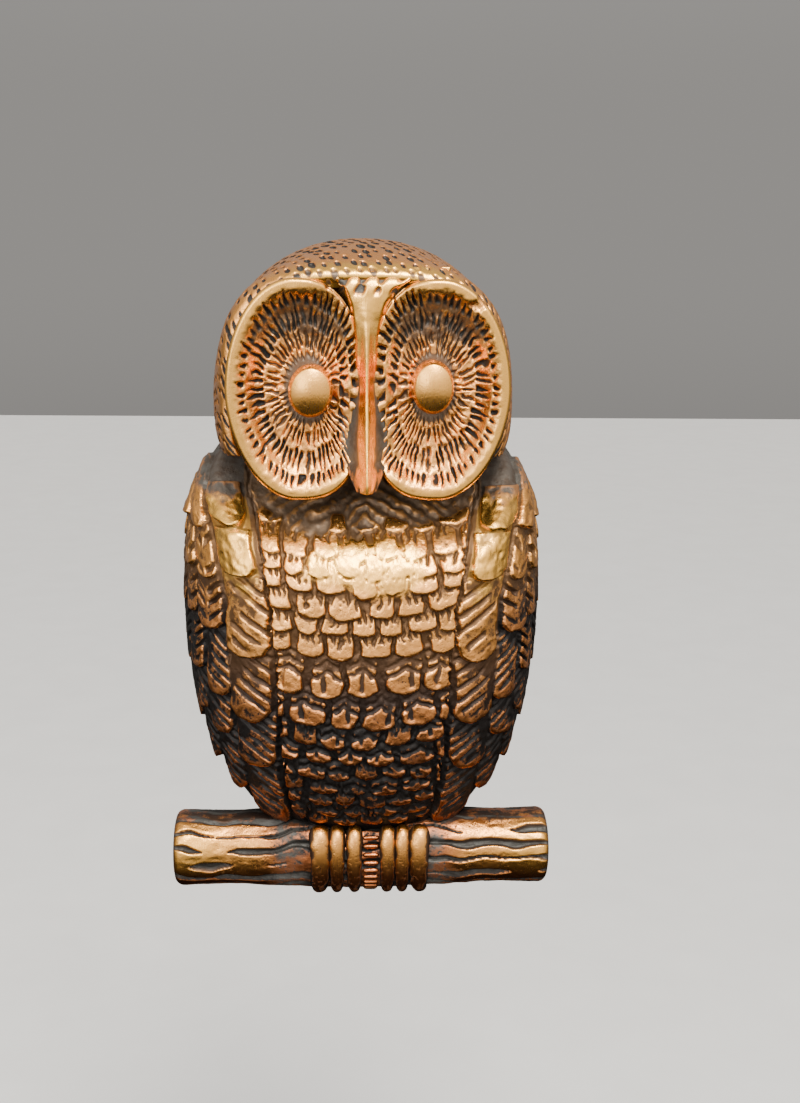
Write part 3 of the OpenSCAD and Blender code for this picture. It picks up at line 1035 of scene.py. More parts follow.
class SwingingBody:
    """The body casting: breast, wings, shoulders, perch, toes and the hidden hinge barrel."""

    body = "swinging_body"

    def __init__(self, form: BodyForm, step: float) -> None:
        """Keeps the shape and the grid size.

        Args:
            form: The smooth shape.
            step: Wanted grid spacing in millimetres.
        """
        self.form = form
        self.step = step
        self.breast_half = self._fit(29.0)
        self.wing_cols = self._fit(52.0)

    def _fit(self, length: float) -> int:
        """Number of cells along a length, a multiple of COARSE."""
        return COARSE * max(2, round(length / self.step / COARSE))

    def skin(self) -> tuple[Surface, Array, Array]:
        """The smooth front skin from the left edge to the right one.

        Returns:
            The surface, the distance of each point from the nearer groove (negative on the breast),
            and the row heights.
        """
        form = self.form
        probe = np.linspace(form.shoulder_z, form.lowest_z, 600)
        depth = np.array([float(form.depth_at(np.zeros(1), z)[0]) for z in probe])
        run = np.concatenate([[0.0], np.cumsum(np.hypot(np.diff(probe), np.diff(depth)))])
        rows = self._fit(run[-1])
        heights = np.interp(np.linspace(0.0, run[-1], rows + 1), run, probe)
        top_rows = self._fit(7.0)
        turn = np.linspace(0.0, 0.5 * math.pi, 500)
        grooves = form.groove(heights)
        sections = []
        for z, groove in zip(heights, grooves):
            x = form.half_span(float(z)) * np.sin(turn)
            line = np.stack([x, -form.depth_at(x, float(z)), np.full_like(x, z)], axis=1)
            cut = int(np.searchsorted(x, groove))
            inner = resampled(line[None, : cut + 1], self.breast_half + 1)[0]
            outer = resampled(line[None, cut:], self.wing_cols + 1)[0]
            half = np.concatenate([inner, outer[1:]])
            left = half[::-1] * np.array([-1.0, 1.0, 1.0])
            sections.append(np.concatenate([left[:-1], half]))
        front = np.stack(sections)
        share = np.linspace(0.0, 1.0, top_rows + 1)[:-1]
        roof = np.repeat(front[:1], top_rows, axis=0)
        roof[..., 1] = -form.standoff + (front[0, :, 1] + form.standoff) * share[:, None]
        points = np.concatenate([roof, front])
        step = np.linalg.norm(np.diff(points, axis=1), axis=2)
        along = np.concatenate([np.zeros((len(points), 1)), np.cumsum(step, axis=1)], axis=1)
        right = self.wing_cols + 2 * self.breast_half
        from_right = along - along[:, right : right + 1]
        from_left = along[:, self.wing_cols : self.wing_cols + 1] - along
        return Surface(points), np.maximum(from_right, from_left), points[:, 0, 2]

    def chest(self, x: Array, z: Array) -> Array:
        """Mask of the rough chest under the beak, which no scale covers."""
        return smooth(-4.4, -2.0, z + 5.5 * Noise(9).fractal(x, z, 6.5, 3) - 0.05 * np.abs(x))

    def breast_relief(self, x: Array, z: Array) -> tuple[Array, Array]:
        """Relief and worn mask of the breast."""
        height = np.zeros_like(x)
        for number, row in enumerate(BREAST_ROWS):
            height = np.maximum(height, scale_relief(x, z, row, number))
        patch = Noise(5).fractal(x, z, 11.0, 3)
        worn = smooth(0.15, 0.55, 1.0 - np.hypot((x - 1.5) / 19.0, (z + 12.5) / 8.5) + 0.55 * patch)
        slope = np.hypot(*np.gradient(height)) / self.step
        crack = smooth(1.2, 2.4, slope)
        height = mix(height, 1.55 - 0.12 * patch - 0.60 * crack, 0.92 * worn)
        chest = self.chest(x, z)
        chevron = z + 0.62 * np.abs(x - 0.5) + 2.6 * Noise(8).fractal(x, z, 7.0, 4)
        lines = (0.5 - 0.5 * np.cos(TAU * chevron / 3.0)) * Noise(10).value(x / 6.0, z / 4.0)
        carved = 0.3 + lines * smooth(0.0, 0.25, 1.0 - np.abs(x) / 27.0)
        carved += 0.6 * Noise(11).fractal(x, z, 3.0, 3)
        height = mix(height, carved, chest)
        rough = Noise(12).fractal(x, z, 2.4, 3) * smooth(-50.0, -66.0, z)
        return height + 0.38 * rough, worn

    def wing_relief(self, s: Array, z: Array, side: int) -> Array:
        """Relief of one wing, from its distance from the groove."""
        shift = 0.8 if side > 0 else 0.0
        height = np.full_like(s, 0.1)
        for number, feather in enumerate(WING_FEATHERS):
            height = np.maximum(height, feather_relief(s, z + shift, feather, number + 50 * side))
        return mix(height, 0.55 + 0.4 * height, smooth(24.0, 40.0, s))

    def build(self, finish: bpy.types.Material) -> None:
        surface, s, _ = self.skin()
        p = surface.points
        x, z = p[..., 0], p[..., 2]
        normals = surface.normals()
        on_breast = s < 0.0
        breast, worn = self.breast_relief(x, z)
        wing = np.where(x < 0.0, self.wing_relief(s, z, 0), self.wing_relief(s, z, 1))
        relief = np.where(on_breast, breast, wing)
        ragged = Noise(77).fractal(s, z, 2.6, 3)
        gap = 1.0 - smooth(0.05, 0.75, np.abs(s + 1.5 * ragged))
        relief = relief * (1.0 - gap) - gap * (0.55 + 0.3 * ragged)
        edge = smooth(0.0, 3.0, p[..., 1] * -1.0 - self.form.standoff)
        relief = (relief - 0.75) * edge
        relief += (0.10 * Noise(21).fractal(s, z, 1.2, 3) + 0.12 * Noise(22).fractal(s, z, 3.5, 2)) * edge
        reach = max(3, round(2.2 / self.step))
        # Painted highlight, with real polish on the worn patch: the upper chest, the upper inner wing
        # feathers and the upper body are made bright.
        bright = smooth(-30.0, -10.0, z) * (0.35 + 0.65 * worn)
        flat_feather = (s > 1.5) & (s < 14.0)
        bright = np.maximum(bright, smooth(-22.0, -14.0, z + 6.0 * ragged) * flat_feather * 0.95)
        bright = np.maximum(bright, 0.30 * smooth(-56.0, -26.0, z) * (s < 14.0))
        raw = 0.9 * self.chest(x, z) * (s < 1.5)
        shoulder = smooth(0.0, 3.5, z + 3.0 * ragged - 0.25 * np.abs(s - 7.0)) * (s >= 1.5)
        raw = np.maximum(raw, 0.85 * shoulder)
        bright = bright * (1.0 - 0.9 * shoulder)
        raw = np.maximum(raw, 0.6 * gap * smooth(-20.0, -5.0, z))
        coat = coat_from(relief, reach, 1.25, bright, raw)
        lifted = np.clip((relief + 0.75) / 2.3, 0.0, 1.0)
        # Painted shade: the wear value is lowered towards the bottom of the body, so it is darker there.
        painted_low_shade = 0.08 * smooth(-35.0, -75.0, z) + 0.06 * smooth(-20.0, -40.0, z)
        shade = smooth(0.5, 2.0, s) * (0.21 + 0.10 * smooth(12.0, 26.0, s)) * (1.0 - 0.8 * bright)
        wear_and_shade = 0.95 * coat.wear_and_shade + 0.42 * lifted + 0.30 * worn * on_breast - 0.28
        wear_and_shade = np.clip(wear_and_shade - painted_low_shade - shade, 0.0, 1.0)
        outer = surface.raised(relief, normals)
        inner = (p - normals * self.form.wall)[::COARSE, ::COARSE].copy()
        inner[..., 1] = np.minimum(inner[..., 1], -self.form.standoff)
        inner[..., 2] = np.minimum(inner[..., 2], self.form.shoulder_z - self.form.wall)
        cuts = (0, self.wing_cols, self.wing_cols + 2 * self.breast_half, p.shape[1] - 1)
        for name, first, last in zip(("left_wing", "breast", "right_wing"), cuts[:-1], cuts[1:]):
            part = slice(first, last + 1)
            part_coat = Coat(wear_and_shade[:, part], coat.polish_and_highlight[:, part], coat.raw[:, part])
            made = shell(name, outer[:, part], inner[:, first // COARSE : last // COARSE + 1], part_coat)
            dress(made, finish)
            declare(made, self.body, "body_brass", "body_casting")

    def perch(self, finish: bpy.types.Material) -> None:
        """Makes the branch under the feet, with bark grooves along it."""
        length, radius, depth, height, round_end = 101.0, 10.4, 24.0, -94.5, 2.5
        around = round(TAU * radius / self.step)
        along = round(length / self.step)
        x = np.linspace(-0.5 * length, 0.5 * length, along)
        angle = np.linspace(0.0, TAU, around, endpoint=False)
        xx, aa = np.meshgrid(x, angle, indexing="ij")
        inset = np.clip(np.abs(xx) - (0.5 * length - round_end), 0.0, round_end)
        end = round_end - np.sqrt(np.clip(round_end**2 - inset**2, 0.0, None))
        swell = 0.9 * np.exp(-((xx / 22.0) ** 2)) - 0.5 * np.exp(-((np.abs(xx) - 36.0) / 9.0) ** 2)
        bark = Noise(51)
        drift = 2.6 * bark.fractal(xx / 1.8, aa * 2.0, 8.0, 2) + 1.0 * bark.fractal(xx, aa * radius, 6.0, 2)
        lane = (aa * radius + drift) / (TAU * radius / 15.0)
        number = np.floor(lane).astype(int) % 15
        reach = Noise(52).value(xx / 8.5 + 3.1 * number, number * 1.0 + 0.5)
        width = 1.5 * np.sqrt(smooth(0.34, 0.80, reach))
        off = np.abs(lane - np.floor(lane) - 0.5) * TAU * radius / 15.0
        groove = np.where(width > 0.05, 1.0 - smooth(0.45 * width, width + 0.01, off), 0.0)
        top = smooth(0.80, 0.95, np.sin(aa))
        relief = -1.3 * groove * (1.0 - top) + 0.16 * bark.fractal(xx / 2.0, aa * radius, 1.6, 3)
        fade = smooth(0.0, 2.2, 0.5 * length - np.abs(xx))
        size = radius + swell - end + relief * fade - 0.12
        points = np.stack([xx, -depth + size * np.cos(aa), height + size * np.sin(aa)], axis=-1)
        facing = np.clip(-np.cos(aa), 0.0, 1.0)
        edge_dark = groove * (1.0 - groove) * 4.0
        worn = 0.80 - 0.30 * smooth(30.0, 21.0, np.abs(xx))
        worn += 0.25 * bark.fractal(xx / 2.0, aa * radius, 3.0, 3)
        wear_and_shade = np.clip(worn - (0.70 * groove + 0.60 * edge_dark) * (1.0 - top) - 0.42 * top, 0.0, 1.0)
        near_end = 0.55 + 0.45 * smooth(34.0, 46.0, np.abs(xx))
        # Painted highlight: the upper front of the perch towards its ends is made bright.
        polish_and_highlight = 0.75 * facing * (1.0 - groove) * smooth(-0.75, 0.1, np.sin(aa))
        polish_and_highlight = polish_and_highlight * smooth(20.0, 31.0, np.abs(xx)) * near_end
        raw = np.maximum(0.45 * groove, 0.6 * smooth(6.0, 0.0, np.abs(np.abs(xx) - 20.0)))
        inner = smooth(0.0, 0.8, 0.5 * length - np.abs(xx))
        made = capped("perch", points, Coat(mix(0.45, wear_and_shade, inner), polish_and_highlight * inner, mix(0.35, raw, inner)))
        dress(made, finish)
        declare(made, self.body, "body_brass", "body_casting")

    def toe(self) -> bpy.types.Object:
        """One toe as a source mesh, curled over the front of the perch, its middle on the perch's axis."""
        angle = np.linspace(math.radians(52.0), math.radians(-68.0), 60)
        share = np.linspace(0.0, 1.0, 60)
        around = np.linspace(0.0, TAU, 28, endpoint=False)
        plump = 1.04 + 0.10 * np.sin(share * 8.0 + 0.9) - 0.46 * smooth(0.45, 1.0, share)
        cap = np.sqrt(np.clip(1.0 - (np.abs(share - 0.5) * 2.0) ** 7, 0.0, 1.0))
        wide = 2.40 * plump * cap + 0.02
        tall = 1.75 * plump * cap + 0.02
        reach = 11.2 + 0.35 * np.sin(share * 8.0 + 0.9)
        aa, tt = np.meshgrid(angle, around, indexing="ij")
        out = reach[:, None] + tall[:, None] * np.cos(tt)
        grain = 0.42 * Noise(61).fractal(aa * 12.0, tt * 2.4, 2.6, 3)
        across = (wide[:, None] + grain) * np.sin(tt)
        points = np.stack([across, -out * np.cos(aa), out * np.sin(aa)], axis=-1)
        crown = smooth(0.0, 0.95, np.cos(tt))
        low_end = smooth(0.75, 1.0, share)[:, None]
        wear_and_shade = np.clip(-0.06 + 0.76 * crown + 0.9 * grain - 0.25 * low_end, 0.0, 1.0)
        polish_and_highlight = 0.4 * crown * (1.0 - smooth(0.30, 0.65, share))[:, None]
        return capped("toe_source", points, Coat(wear_and_shade, polish_and_highlight, np.zeros_like(wear_and_shade)))

    def ridge(self) -> bpy.types.Object:
        """One short tail ridge between the feet as a source mesh."""
        x = np.linspace(-2.3, 2.3, 18)
        around = np.linspace(0.0, TAU, 14, endpoint=False)
        xx, tt = np.meshgrid(x, around, indexing="ij")
        thick = 0.85 * np.sqrt(np.clip(1.0 - (xx / 2.35) ** 4, 0.0, 1.0)) + 0.02
        points = np.stack([xx, -11.0 - thick * np.cos(tt), 0.8 * thick * np.sin(tt)], axis=-1)
        wear_and_shade = np.clip(0.35 + 0.6 * np.cos(tt), 0.0, 1.0)
        return capped("ridge_source", points, Coat(wear_and_shade, np.zeros_like(wear_and_shade), np.zeros_like(wear_and_shade)))

    def feet(self, finish: bpy.types.Material) -> None:
        """Sets the six toes and the stack of tail ridges between the feet."""
        axis = Vector((0.0, -24.0, -94.5))
        left_foot = ((-12.2, 1.12, 0.10), (-7.0, 0.86, 0.03), (-1.9, 0.88, -0.02))
        right_foot = ((6.5, 0.88, 0.03), (10.9, 0.84, -0.02), (16.2, 1.10, -0.10))
        toes = [
            (axis + Vector((x, 0.0, 0.0)), Vector((0.0, 0.0, lean)), Vector((wide, 1.0, 1.0)))
            for x, wide, lean in left_foot + right_foot
        ]
        made = Repeat("toes", self.toe(), finish).bake(toes)
        declare(made, self.body, "body_brass", "body_casting")
        middle = axis + Vector((2.3, 0.0, 0.0))
        turns = [math.radians(34.0 - 11.5 * k) for k in range(9)]
        stack = [
            (middle, Vector((-turn, 0.0, 0.0)), Vector((1.0 - 0.02 * k, 1.0, 1.0)))
            for k, turn in enumerate(turns)
        ]
        made = Repeat("tail_ridges", self.ridge(), finish).bake(stack)
        declare(made, self.body, "body_brass", "body_casting")

    def hinge_barrel(self, finish: bpy.types.Material) -> None:
        """Makes the hidden barrel and its web, and the nub that meets the strike button."""
        z, depth, outer, bore, half = 20.5, -15.0, 5.55, 3.55, 14.5
        ends = np.array([-half, -half + 0.5, half - 0.5, half])
        bulge = np.array([outer - 0.5, outer, outer, outer - 0.5])
        angle = np.linspace(0.0, TAU, 72, endpoint=False)
        x = np.concatenate([ends, ends[::-1], ends[:1]])
        r = np.concatenate([bulge, np.full(4, bore), bulge[:1]])
        xx, tt = np.meshgrid(x, angle, indexing="ij")
        points = np.stack([xx, depth + r[:, None] * np.cos(tt), z + r[:, None] * np.sin(tt)], axis=-1)
        ids = np.arange(points[:-1, :, 0].size).reshape(len(x) - 1, len(angle))
        ring = np.concatenate([ids, ids[:1]])
        faces = quads(np.concatenate([ring, ring[:, :1]], axis=1))
        made = make_object("hinge_barrel", points[:-1].reshape(-1, 3), faces, None, False)
        dress(made, finish)
        declare(made, self.body, "body_brass", "body_casting")
        web = block("barrel_web", (-13.5, -19.0, 8.5), (13.5, -11.2, 17.0), 0.8)
        dress(web, finish)
        declare(web, self.body, "body_brass", "body_casting")
        outline = ((4.5, 7.9), (4.5, 8.4), (4.5, 20.0), (5.4, 25.0))
        nub = turned("strike_nub", outline, Vector((0.0, 0.0, -94.5)), 0.4)
        dress(nub, finish)
        declare(nub, self.body, "body_brass", "body_casting")


def turned(
    name: str, profile: Sequence[tuple[float, float]], foot: Vector, soften: float
) -> bpy.types.Object:
    """A solid of revolution about a line along Y.

    Args:
        name: Name of the piece.
        profile: Radius and distance from the door, from the door side outwards, in millimetres.
        foot: Where the line meets the door.
        soften: Size of the bevel taken off the edge at the door end.

    Returns:
        The piece.
    """
    line = [(profile[0][0] - soften, profile[0][1]), (profile[0][0], profile[0][1] + soften)]
    line += list(profile[1:])
    angle = np.linspace(0.0, TAU, 64, endpoint=False)
    rings = [
        np.stack(
            [foot.x + r * np.cos(angle), np.full_like(angle, foot.y - d), foot.z + r * np.sin(angle)], axis=-1
        )
        for r, d in line
    ]
    made = capped(name, np.stack(rings), None, False)
    soften_shading(made)
    return made


def soften_shading(made: bpy.types.Object) -> None:
    """Smooth shading that keeps edges sharper than 35 degrees."""
    made.data.polygons.foreach_set("use_smooth", [True] * len(made.data.polygons))
    made.data.set_sharp_from_angle(angle=math.radians(35.0))


def block(name: str, low: Sequence[float], high: Sequence[float], round_edge: float) -> bpy.types.Object:
    """A cast block with rounded edges between two corners in millimetres."""
    mesh = bpy.data.meshes.new(name)
    work = bmesh.new()
    middle = (Vector(low) + Vector(high)) * 0.5 * MM
    size = (Vector(high) - Vector(low)) * MM
    bmesh.ops.create_cube(work, size=1.0, matrix=Matrix.Translation(middle) @ Matrix.Diagonal((*size, 1.0)))
    edges = work.edges[:]
    bmesh.ops.bevel(work, geom=edges, offset=round_edge * MM, segments=3, profile=0.5, affect="EDGES")
    work.to_mesh(mesh)
    work.free()
    for title, value in (("wear_and_shade", 0.2), ("polish_and_highlight", 0.0), ("raw", 0.7)):
        mesh.attributes.new(title, "FLOAT", "POINT").data.foreach_set("value", [value] * len(mesh.vertices))
    made = bpy.data.objects.new(name, mesh)
    bpy.context.scene.collection.objects.link(made)
    soften_shading(made)
    return made


# ---------------------------------------------------------------- fixed head


@dataclass(frozen=True)
class HeadForm:
    """The smooth crown behind the face, in millimetres.

    Attributes:
        half_width: Half the width of the head.
        middle_z: Height of the widest place.
        up: Reach of the crown above it.
        down: Reach of the cheeks below it.
        depth: Depth of the head without the beak.
        cut_z: Height of the flat lower edge at the neck.
        wall: Thickness of the casting.
        profile: Share of the depth, of the half width and of the crown, from the door forwards.
    """

    half_width: float = 38.8
    middle_z: float = 28.0
    up: float = 40.0
    down: float = 24.0
    depth: float = 40.0
    cut_z: float = 15.0
    wall: float = 3.5
    profile: tuple[tuple[float, float, float], ...] = (
        (0.0, 1.0, 1.0),
        (0.32, 1.0, 1.0),
        (0.53, 0.99, 0.97),
        (0.69, 0.97, 0.92),
        (0.82, 0.945, 0.865),
        (0.91, 0.915, 0.82),
        (0.955, 0.88, 0.785),
        (0.95, 0.84, 0.745),
        (0.90, 0.79, 0.69),
    )

    def skin(self, rows: int, cols: int) -> Array:
        """The crown as a grid from the door forwards and from the left jaw over to the right jaw."""
        table = np.array(self.profile)
        stride = np.hypot(np.diff(table[:, 0]) * 40.0, np.diff(table[:, 2]) * 40.0)
        run = np.concatenate([[0.0], np.cumsum(stride)])
        t = np.linspace(0.0, run[-1], 900)
        smoothed = np.stack([np.interp(t, run, table[:, k]) for k in range(3)], axis=1)
        kernel = np.ones(61) / 61.0
        padded = (np.pad(smoothed[:, k], 30, mode="edge") for k in range(3))
        soft = np.stack([np.convolve(column, kernel, "valid") for column in padded], axis=1)
        soft[0, 0] = 0.0
        pick = np.linspace(0, 899, rows + 1)
        levels = np.stack([np.interp(pick, np.arange(900), soft[:, k]) for k in range(3)], axis=1)
        low = -math.asin(((self.middle_z - self.cut_z) / self.down) ** 1.6)
        angle = np.linspace(math.pi - low, low, 900)
        c, s = np.cos(angle), np.sin(angle)
        lines = []
        for share, width, crown in levels:
            power = np.where(s > 0.0, 2.15 + 0.95 * float(smooth(0.55, 0.93, share)), 3.2)
            across = np.sign(c) * np.abs(c) ** (2.0 / power)
            lift = np.sign(s) * np.abs(s) ** (2.0 / power)
            x = self.half_width * width * across
            z = self.middle_z + lift * np.where(s > 0.0, self.up * crown, self.down)
            lines.append(np.stack([x, np.full_like(x, -share * self.depth), z], axis=1))
        return resampled(np.stack(lines), cols + 1)


@dataclass(frozen=True)
class Disc:
    """One facial disc.

    Attributes:
        side: -1 for the left one as seen from the front, 1 for the right one.
        middle: Position of its middle across and up.
        outer: Half width away from the beak.
        inner: Half width towards the beak.
        tall: Half its height.
        eye: Position of the middle of the eye across and up.
        eye_size: Half the width and half the height of the eye.
        seed: Seed of the cuts.
    """

    side: int
    middle: tuple[float, float]
    outer: float
    inner: float
    tall: float
    eye: tuple[float, float]
    eye_size: tuple[float, float]
    seed: int


DISCS = (
    Disc(-1, (-17.0, 31.2), 17.0, 16.6, 26.9, (-13.2, 31.1), (5.6, 6.3), 211),
    Disc(1, (18.4, 31.2), 17.4, 17.0, 26.9, (16.7, 32.2), (5.4, 6.4), 223),
)


@dataclass(frozen=True)
class BrowLevel:
    """One level of the brow and beak.

    Attributes:
        z: Height of the level.
        left: Position of its left edge across.
        right: Position of its right edge across.
        crest: Distance of its front from the door.
        sharp: 0 for a flat brow, 1 for a ridged beak.
    """

    z: float
    left: float
    right: float
    crest: float
    sharp: float


BROW_LEVELS = (
    BrowLevel(61.0, -14.5, 21.5, 34.0, 0.0),
    BrowLevel(58.6, -13.0, 19.9, 38.2, 0.0),
    BrowLevel(56.4, -8.6, 12.8, 39.4, 0.0),
    BrowLevel(52.0, -5.6, 7.4, 39.9, 0.1),
    BrowLevel(47.0, -4.3, 5.2, 40.2, 0.3),
    BrowLevel(42.5, -3.6, 4.3, 40.5, 0.55),
    BrowLevel(36.0, -3.3, 4.1, 41.0, 0.8),
    BrowLevel(32.0, -3.9, 4.8, 41.6, 1.0),
    BrowLevel(28.9, -4.8, 5.8, 42.4, 1.0),
    BrowLevel(24.0, -5.6, 6.5, 43.9, 1.0),
    BrowLevel(18.0, -5.7, 6.5, 46.0, 1.0),
    BrowLevel(14.0, -5.0, 5.8, 47.9, 1.0),
    BrowLevel(12.0, -4.2, 5.0, 48.8, 0.95),
    BrowLevel(10.0, -3.3, 4.1, 49.6, 0.8),
    BrowLevel(8.4, -2.6, 3.4, 49.9, 0.6),
    BrowLevel(7.4, -1.7, 2.5, 49.2, 0.4),
)


class FixedHead:
    """The head casting: crown, facial discs, eyes, brow and beak, and the bosses inside."""

    body = "fixed_head"

    def __init__(self, form: HeadForm, step: float) -> None:
        """Keeps the shape and the grid size.

        Args:
            form: The smooth crown.
            step: Wanted grid spacing in millimetres.
        """
        self.form = form
        self.step = step

    def declared(self, made: bpy.types.Object, finish: bpy.types.Material) -> None:
        """Dresses and declares a piece of the head."""
        dress(made, finish)
        declare(made, self.body, "head_brass", "head_casting")

    def crown(self, finish: bpy.types.Material) -> None:
        """Makes the pitted crown and cheeks, hollow behind."""
        rows = COARSE * round(50.0 / self.step / COARSE)
        cols = COARSE * round(150.0 / self.step / COARSE)
        surface = Surface(self.form.skin(rows, cols))
        p = surface.points
        x, depth, z = p[..., 0], -p[..., 1], p[..., 2]
        s = np.cumsum(np.linalg.norm(np.diff(p, axis=1, prepend=p[:, :1]), axis=2), axis=1)
        s = s - 0.5 * s[:, -1:]
        r = np.cumsum(np.linalg.norm(np.diff(p, axis=0, prepend=p[:1]), axis=2), axis=0)
        marks = pits(s, r, 3.3, 1.75, 0.22, (3.1, 3.7), 31)
        brow = smooth(26.0, 10.0, np.abs(x - 2.0)) * smooth(33.0, 36.5, depth) * smooth(50.0, 56.0, z)
        rear = smooth(0.5, 3.0, depth)
        grain = 0.06 * Noise(33).fractal(s, r, 1.0, 2)
        relief = -(0.75 + 0.25 * brow) * marks * rear * (1.0 - smooth(36.6, 38.0, depth)) + grain
        normals = surface.normals()
        wear_and_shade = 0.80 - 0.95 * marks + 0.10 * Noise(35).fractal(s, r, 6.0, 3)
        wear_and_shade = np.clip(wear_and_shade - 0.22 * smooth(30.0, 20.0, depth), 0.0, 1.0)
        polish_and_highlight = np.clip(0.10 + 0.9 * brow + 0.25 * smooth(31.0, 37.0, depth) - marks, 0.0, 1.0)
        raw = marks * (0.25 + 0.6 * brow)
        inner = p - normals * self.form.wall
        inner[..., 1] = np.minimum(inner[..., 1], 0.0)
        inner[..., 2] = np.maximum(inner[..., 2], self.form.cut_z)
        outer = surface.raised(relief, normals)
        self.declared(shell("crown", outer, inner[::COARSE, ::COARSE], Coat(wear_and_shade, polish_and_highlight, raw)), finish)

    def disc(self, disc: Disc, finish: bpy.types.Material) -> None:
        """Makes one facial disc with its rim, dish and rings of cuts."""
        around = round(TAU * 22.0 / self.step / 1.15)
        rows = round(24.0 / self.step)
        angle = np.linspace(0.0, TAU, around, endpoint=False)
        c, s = np.cos(angle), np.sin(angle)
        outward = c * disc.side
        power = np.where(outward > 0.0, np.where(s > 0.0, 2.0, 1.85), np.where(s > 0.0, 2.5, 2.9))
        half = np.where(outward > 0.0, disc.outer, disc.inner)
        edge_x = disc.middle[0] + half * np.sign(c) * np.abs(c) ** (2.0 / power)
        edge_z = disc.middle[1] + disc.tall * np.sign(s) * np.abs(s) ** (2.0 / power)
        rho = np.linspace(0.012, 1.0, rows)
        rr, aa = np.meshgrid(rho, angle, indexing="ij")
        ex, ez = np.broadcast_to(edge_x, rr.shape), np.broadcast_to(edge_z, rr.shape)
        x = disc.eye[0] + rr * (ex - disc.eye[0])
        z = disc.eye[1] + rr * (ez - disc.eye[1])
        reach = np.hypot(ex - disc.eye[0], ez - disc.eye[1])
        inch = (1.0 - rr) * reach
        beakward = smooth(0.05, 0.6, -np.broadcast_to(outward, rr.shape)) * smooth(9.0, 15.0, z)
        rise = mix(4.4 * smooth(9.0, 1.8, inch), 2.3 * smooth(9.5, 0.0, inch), beakward)
        dish = 34.8 + rise + 0.8 * smooth(16.0, 8.0, inch) - 0.7 * smooth(0.9, 0.0, inch) ** 2
        u = aa / TAU
        seed = disc.seed
        warp = Noise(seed).fractal(x, z, 3.0, 3)
        rim_width = 2.2 * (1.0 - beakward) - 0.6 * beakward
        cut = rays(u + 0.006 * warp, rr, 58, 0.76, 1.0 - rim_width / reach, 0.40, seed + 1)
        second = rays(u + 0.5 / 54 + 0.009 * warp, rr, 54, 0.55, 0.80, 0.42, seed + 2)
        third = rays(u + 0.012 * warp, rr, 44, 0.36, 0.60, 0.42, seed + 3)
        inner_cut = rays(u + 0.016 * warp, rr, 32, 0.27, 0.42, 0.40, seed + 4)
        depth = np.maximum(np.maximum(cut * 1.25, second * 1.15), np.maximum(third * 0.95, inner_cut * 0.6))
        upper = smooth(38.0, 48.0, z) * smooth(0.28, 0.4, rr) * (1.0 - smooth(0.78, 0.90, rr))
        lumps = Noise(seed + 6).fractal(x, z, 2.0, 3)
        grain = 0.20 * Noise(seed + 7).fractal(x, z, 1.3, 2)
        relief = -depth + upper * 0.7 * lumps + grain * smooth(0.3, 0.4, rr) * smooth(1.6, 2.6, inch)
        flaw_x = -6.5 if disc.side < 0 else 30.0
        flaw_z = 57.5 if disc.side < 0 else 54.0
        flaw = smooth(0.2, 0.7, 1.0 - np.hypot((x - flaw_x) / 6.5, (z - flaw_z) / 3.6) + 0.75 * lumps)
        if disc.side > 0:
            flaw = flaw * 0.55
        relief = relief - 1.3 * flaw
        front = np.stack([x, -(dish + relief), z], axis=-1)
        away = np.stack([ex - disc.middle[0], ez - disc.middle[1]], axis=-1)
        away = away / np.linalg.norm(away, axis=-1, keepdims=True)
        side_rows = []
        for depth_back, grow in ((37.6, 0.15), (36.2, -0.1), (34.0, -0.8), (31.0, -2.2)):
            wider_x, wider_z = edge_x + grow * away[0, :, 0], edge_z + grow * away[0, :, 1]
            side_rows.append(np.stack([wider_x, np.full_like(edge_x, -depth_back), wider_z], axis=-1))
        back_rows = []
        for share in (0.8, 0.5, 0.2):
            bx = disc.eye[0] + share * (edge_x - disc.eye[0])
            bz = disc.eye[1] + share * (edge_z - disc.eye[1])
            back_rows.append(np.stack([bx, np.full_like(bx, -30.4), bz], axis=-1))
        rings = np.concatenate([front, np.stack(side_rows), np.stack(back_rows)])
        rim_band = smooth(3.0, 1.9, inch) * (1.0 - beakward)
        # Painted shade, with real rough casting: the upper part of the disc, next to the brow, is made
        # darker, and greyer through the raw mask.
        wear_and_shade = 0.70 - 0.72 * depth + 0.5 * rim_band - 0.35 * upper
        wear_and_shade = np.clip(wear_and_shade + 0.30 * lumps * (1.0 - rim_band) - 0.8 * flaw, 0.0, 1.0)
        wear_and_shade = np.where((inch < 2.0) & (beakward < 0.3), np.maximum(wear_and_shade, 0.9 - flaw), wear_and_shade)
        eye_ring = smooth(0.36, 0.26, rr)
        wear_and_shade = wear_and_shade * (1.0 - 0.75 * eye_ring)
        polish_and_highlight = 0.25 + 0.35 * rim_band + 0.2 * smooth(0.62, 0.8, rr)
        polish_and_highlight = np.clip(polish_and_highlight - cut - 0.4 * second - flaw, 0.0, 1.0)
        raw = np.clip(0.75 * eye_ring + 0.35 * (third + inner_cut) + 0.30 * upper + 0.25 * second, 0.0, 1.0)
        name = "left_disc" if disc.side < 0 else "right_disc"
        self.declared(capped(name, rings, Coat(wear_and_shade, polish_and_highlight, raw)), finish)

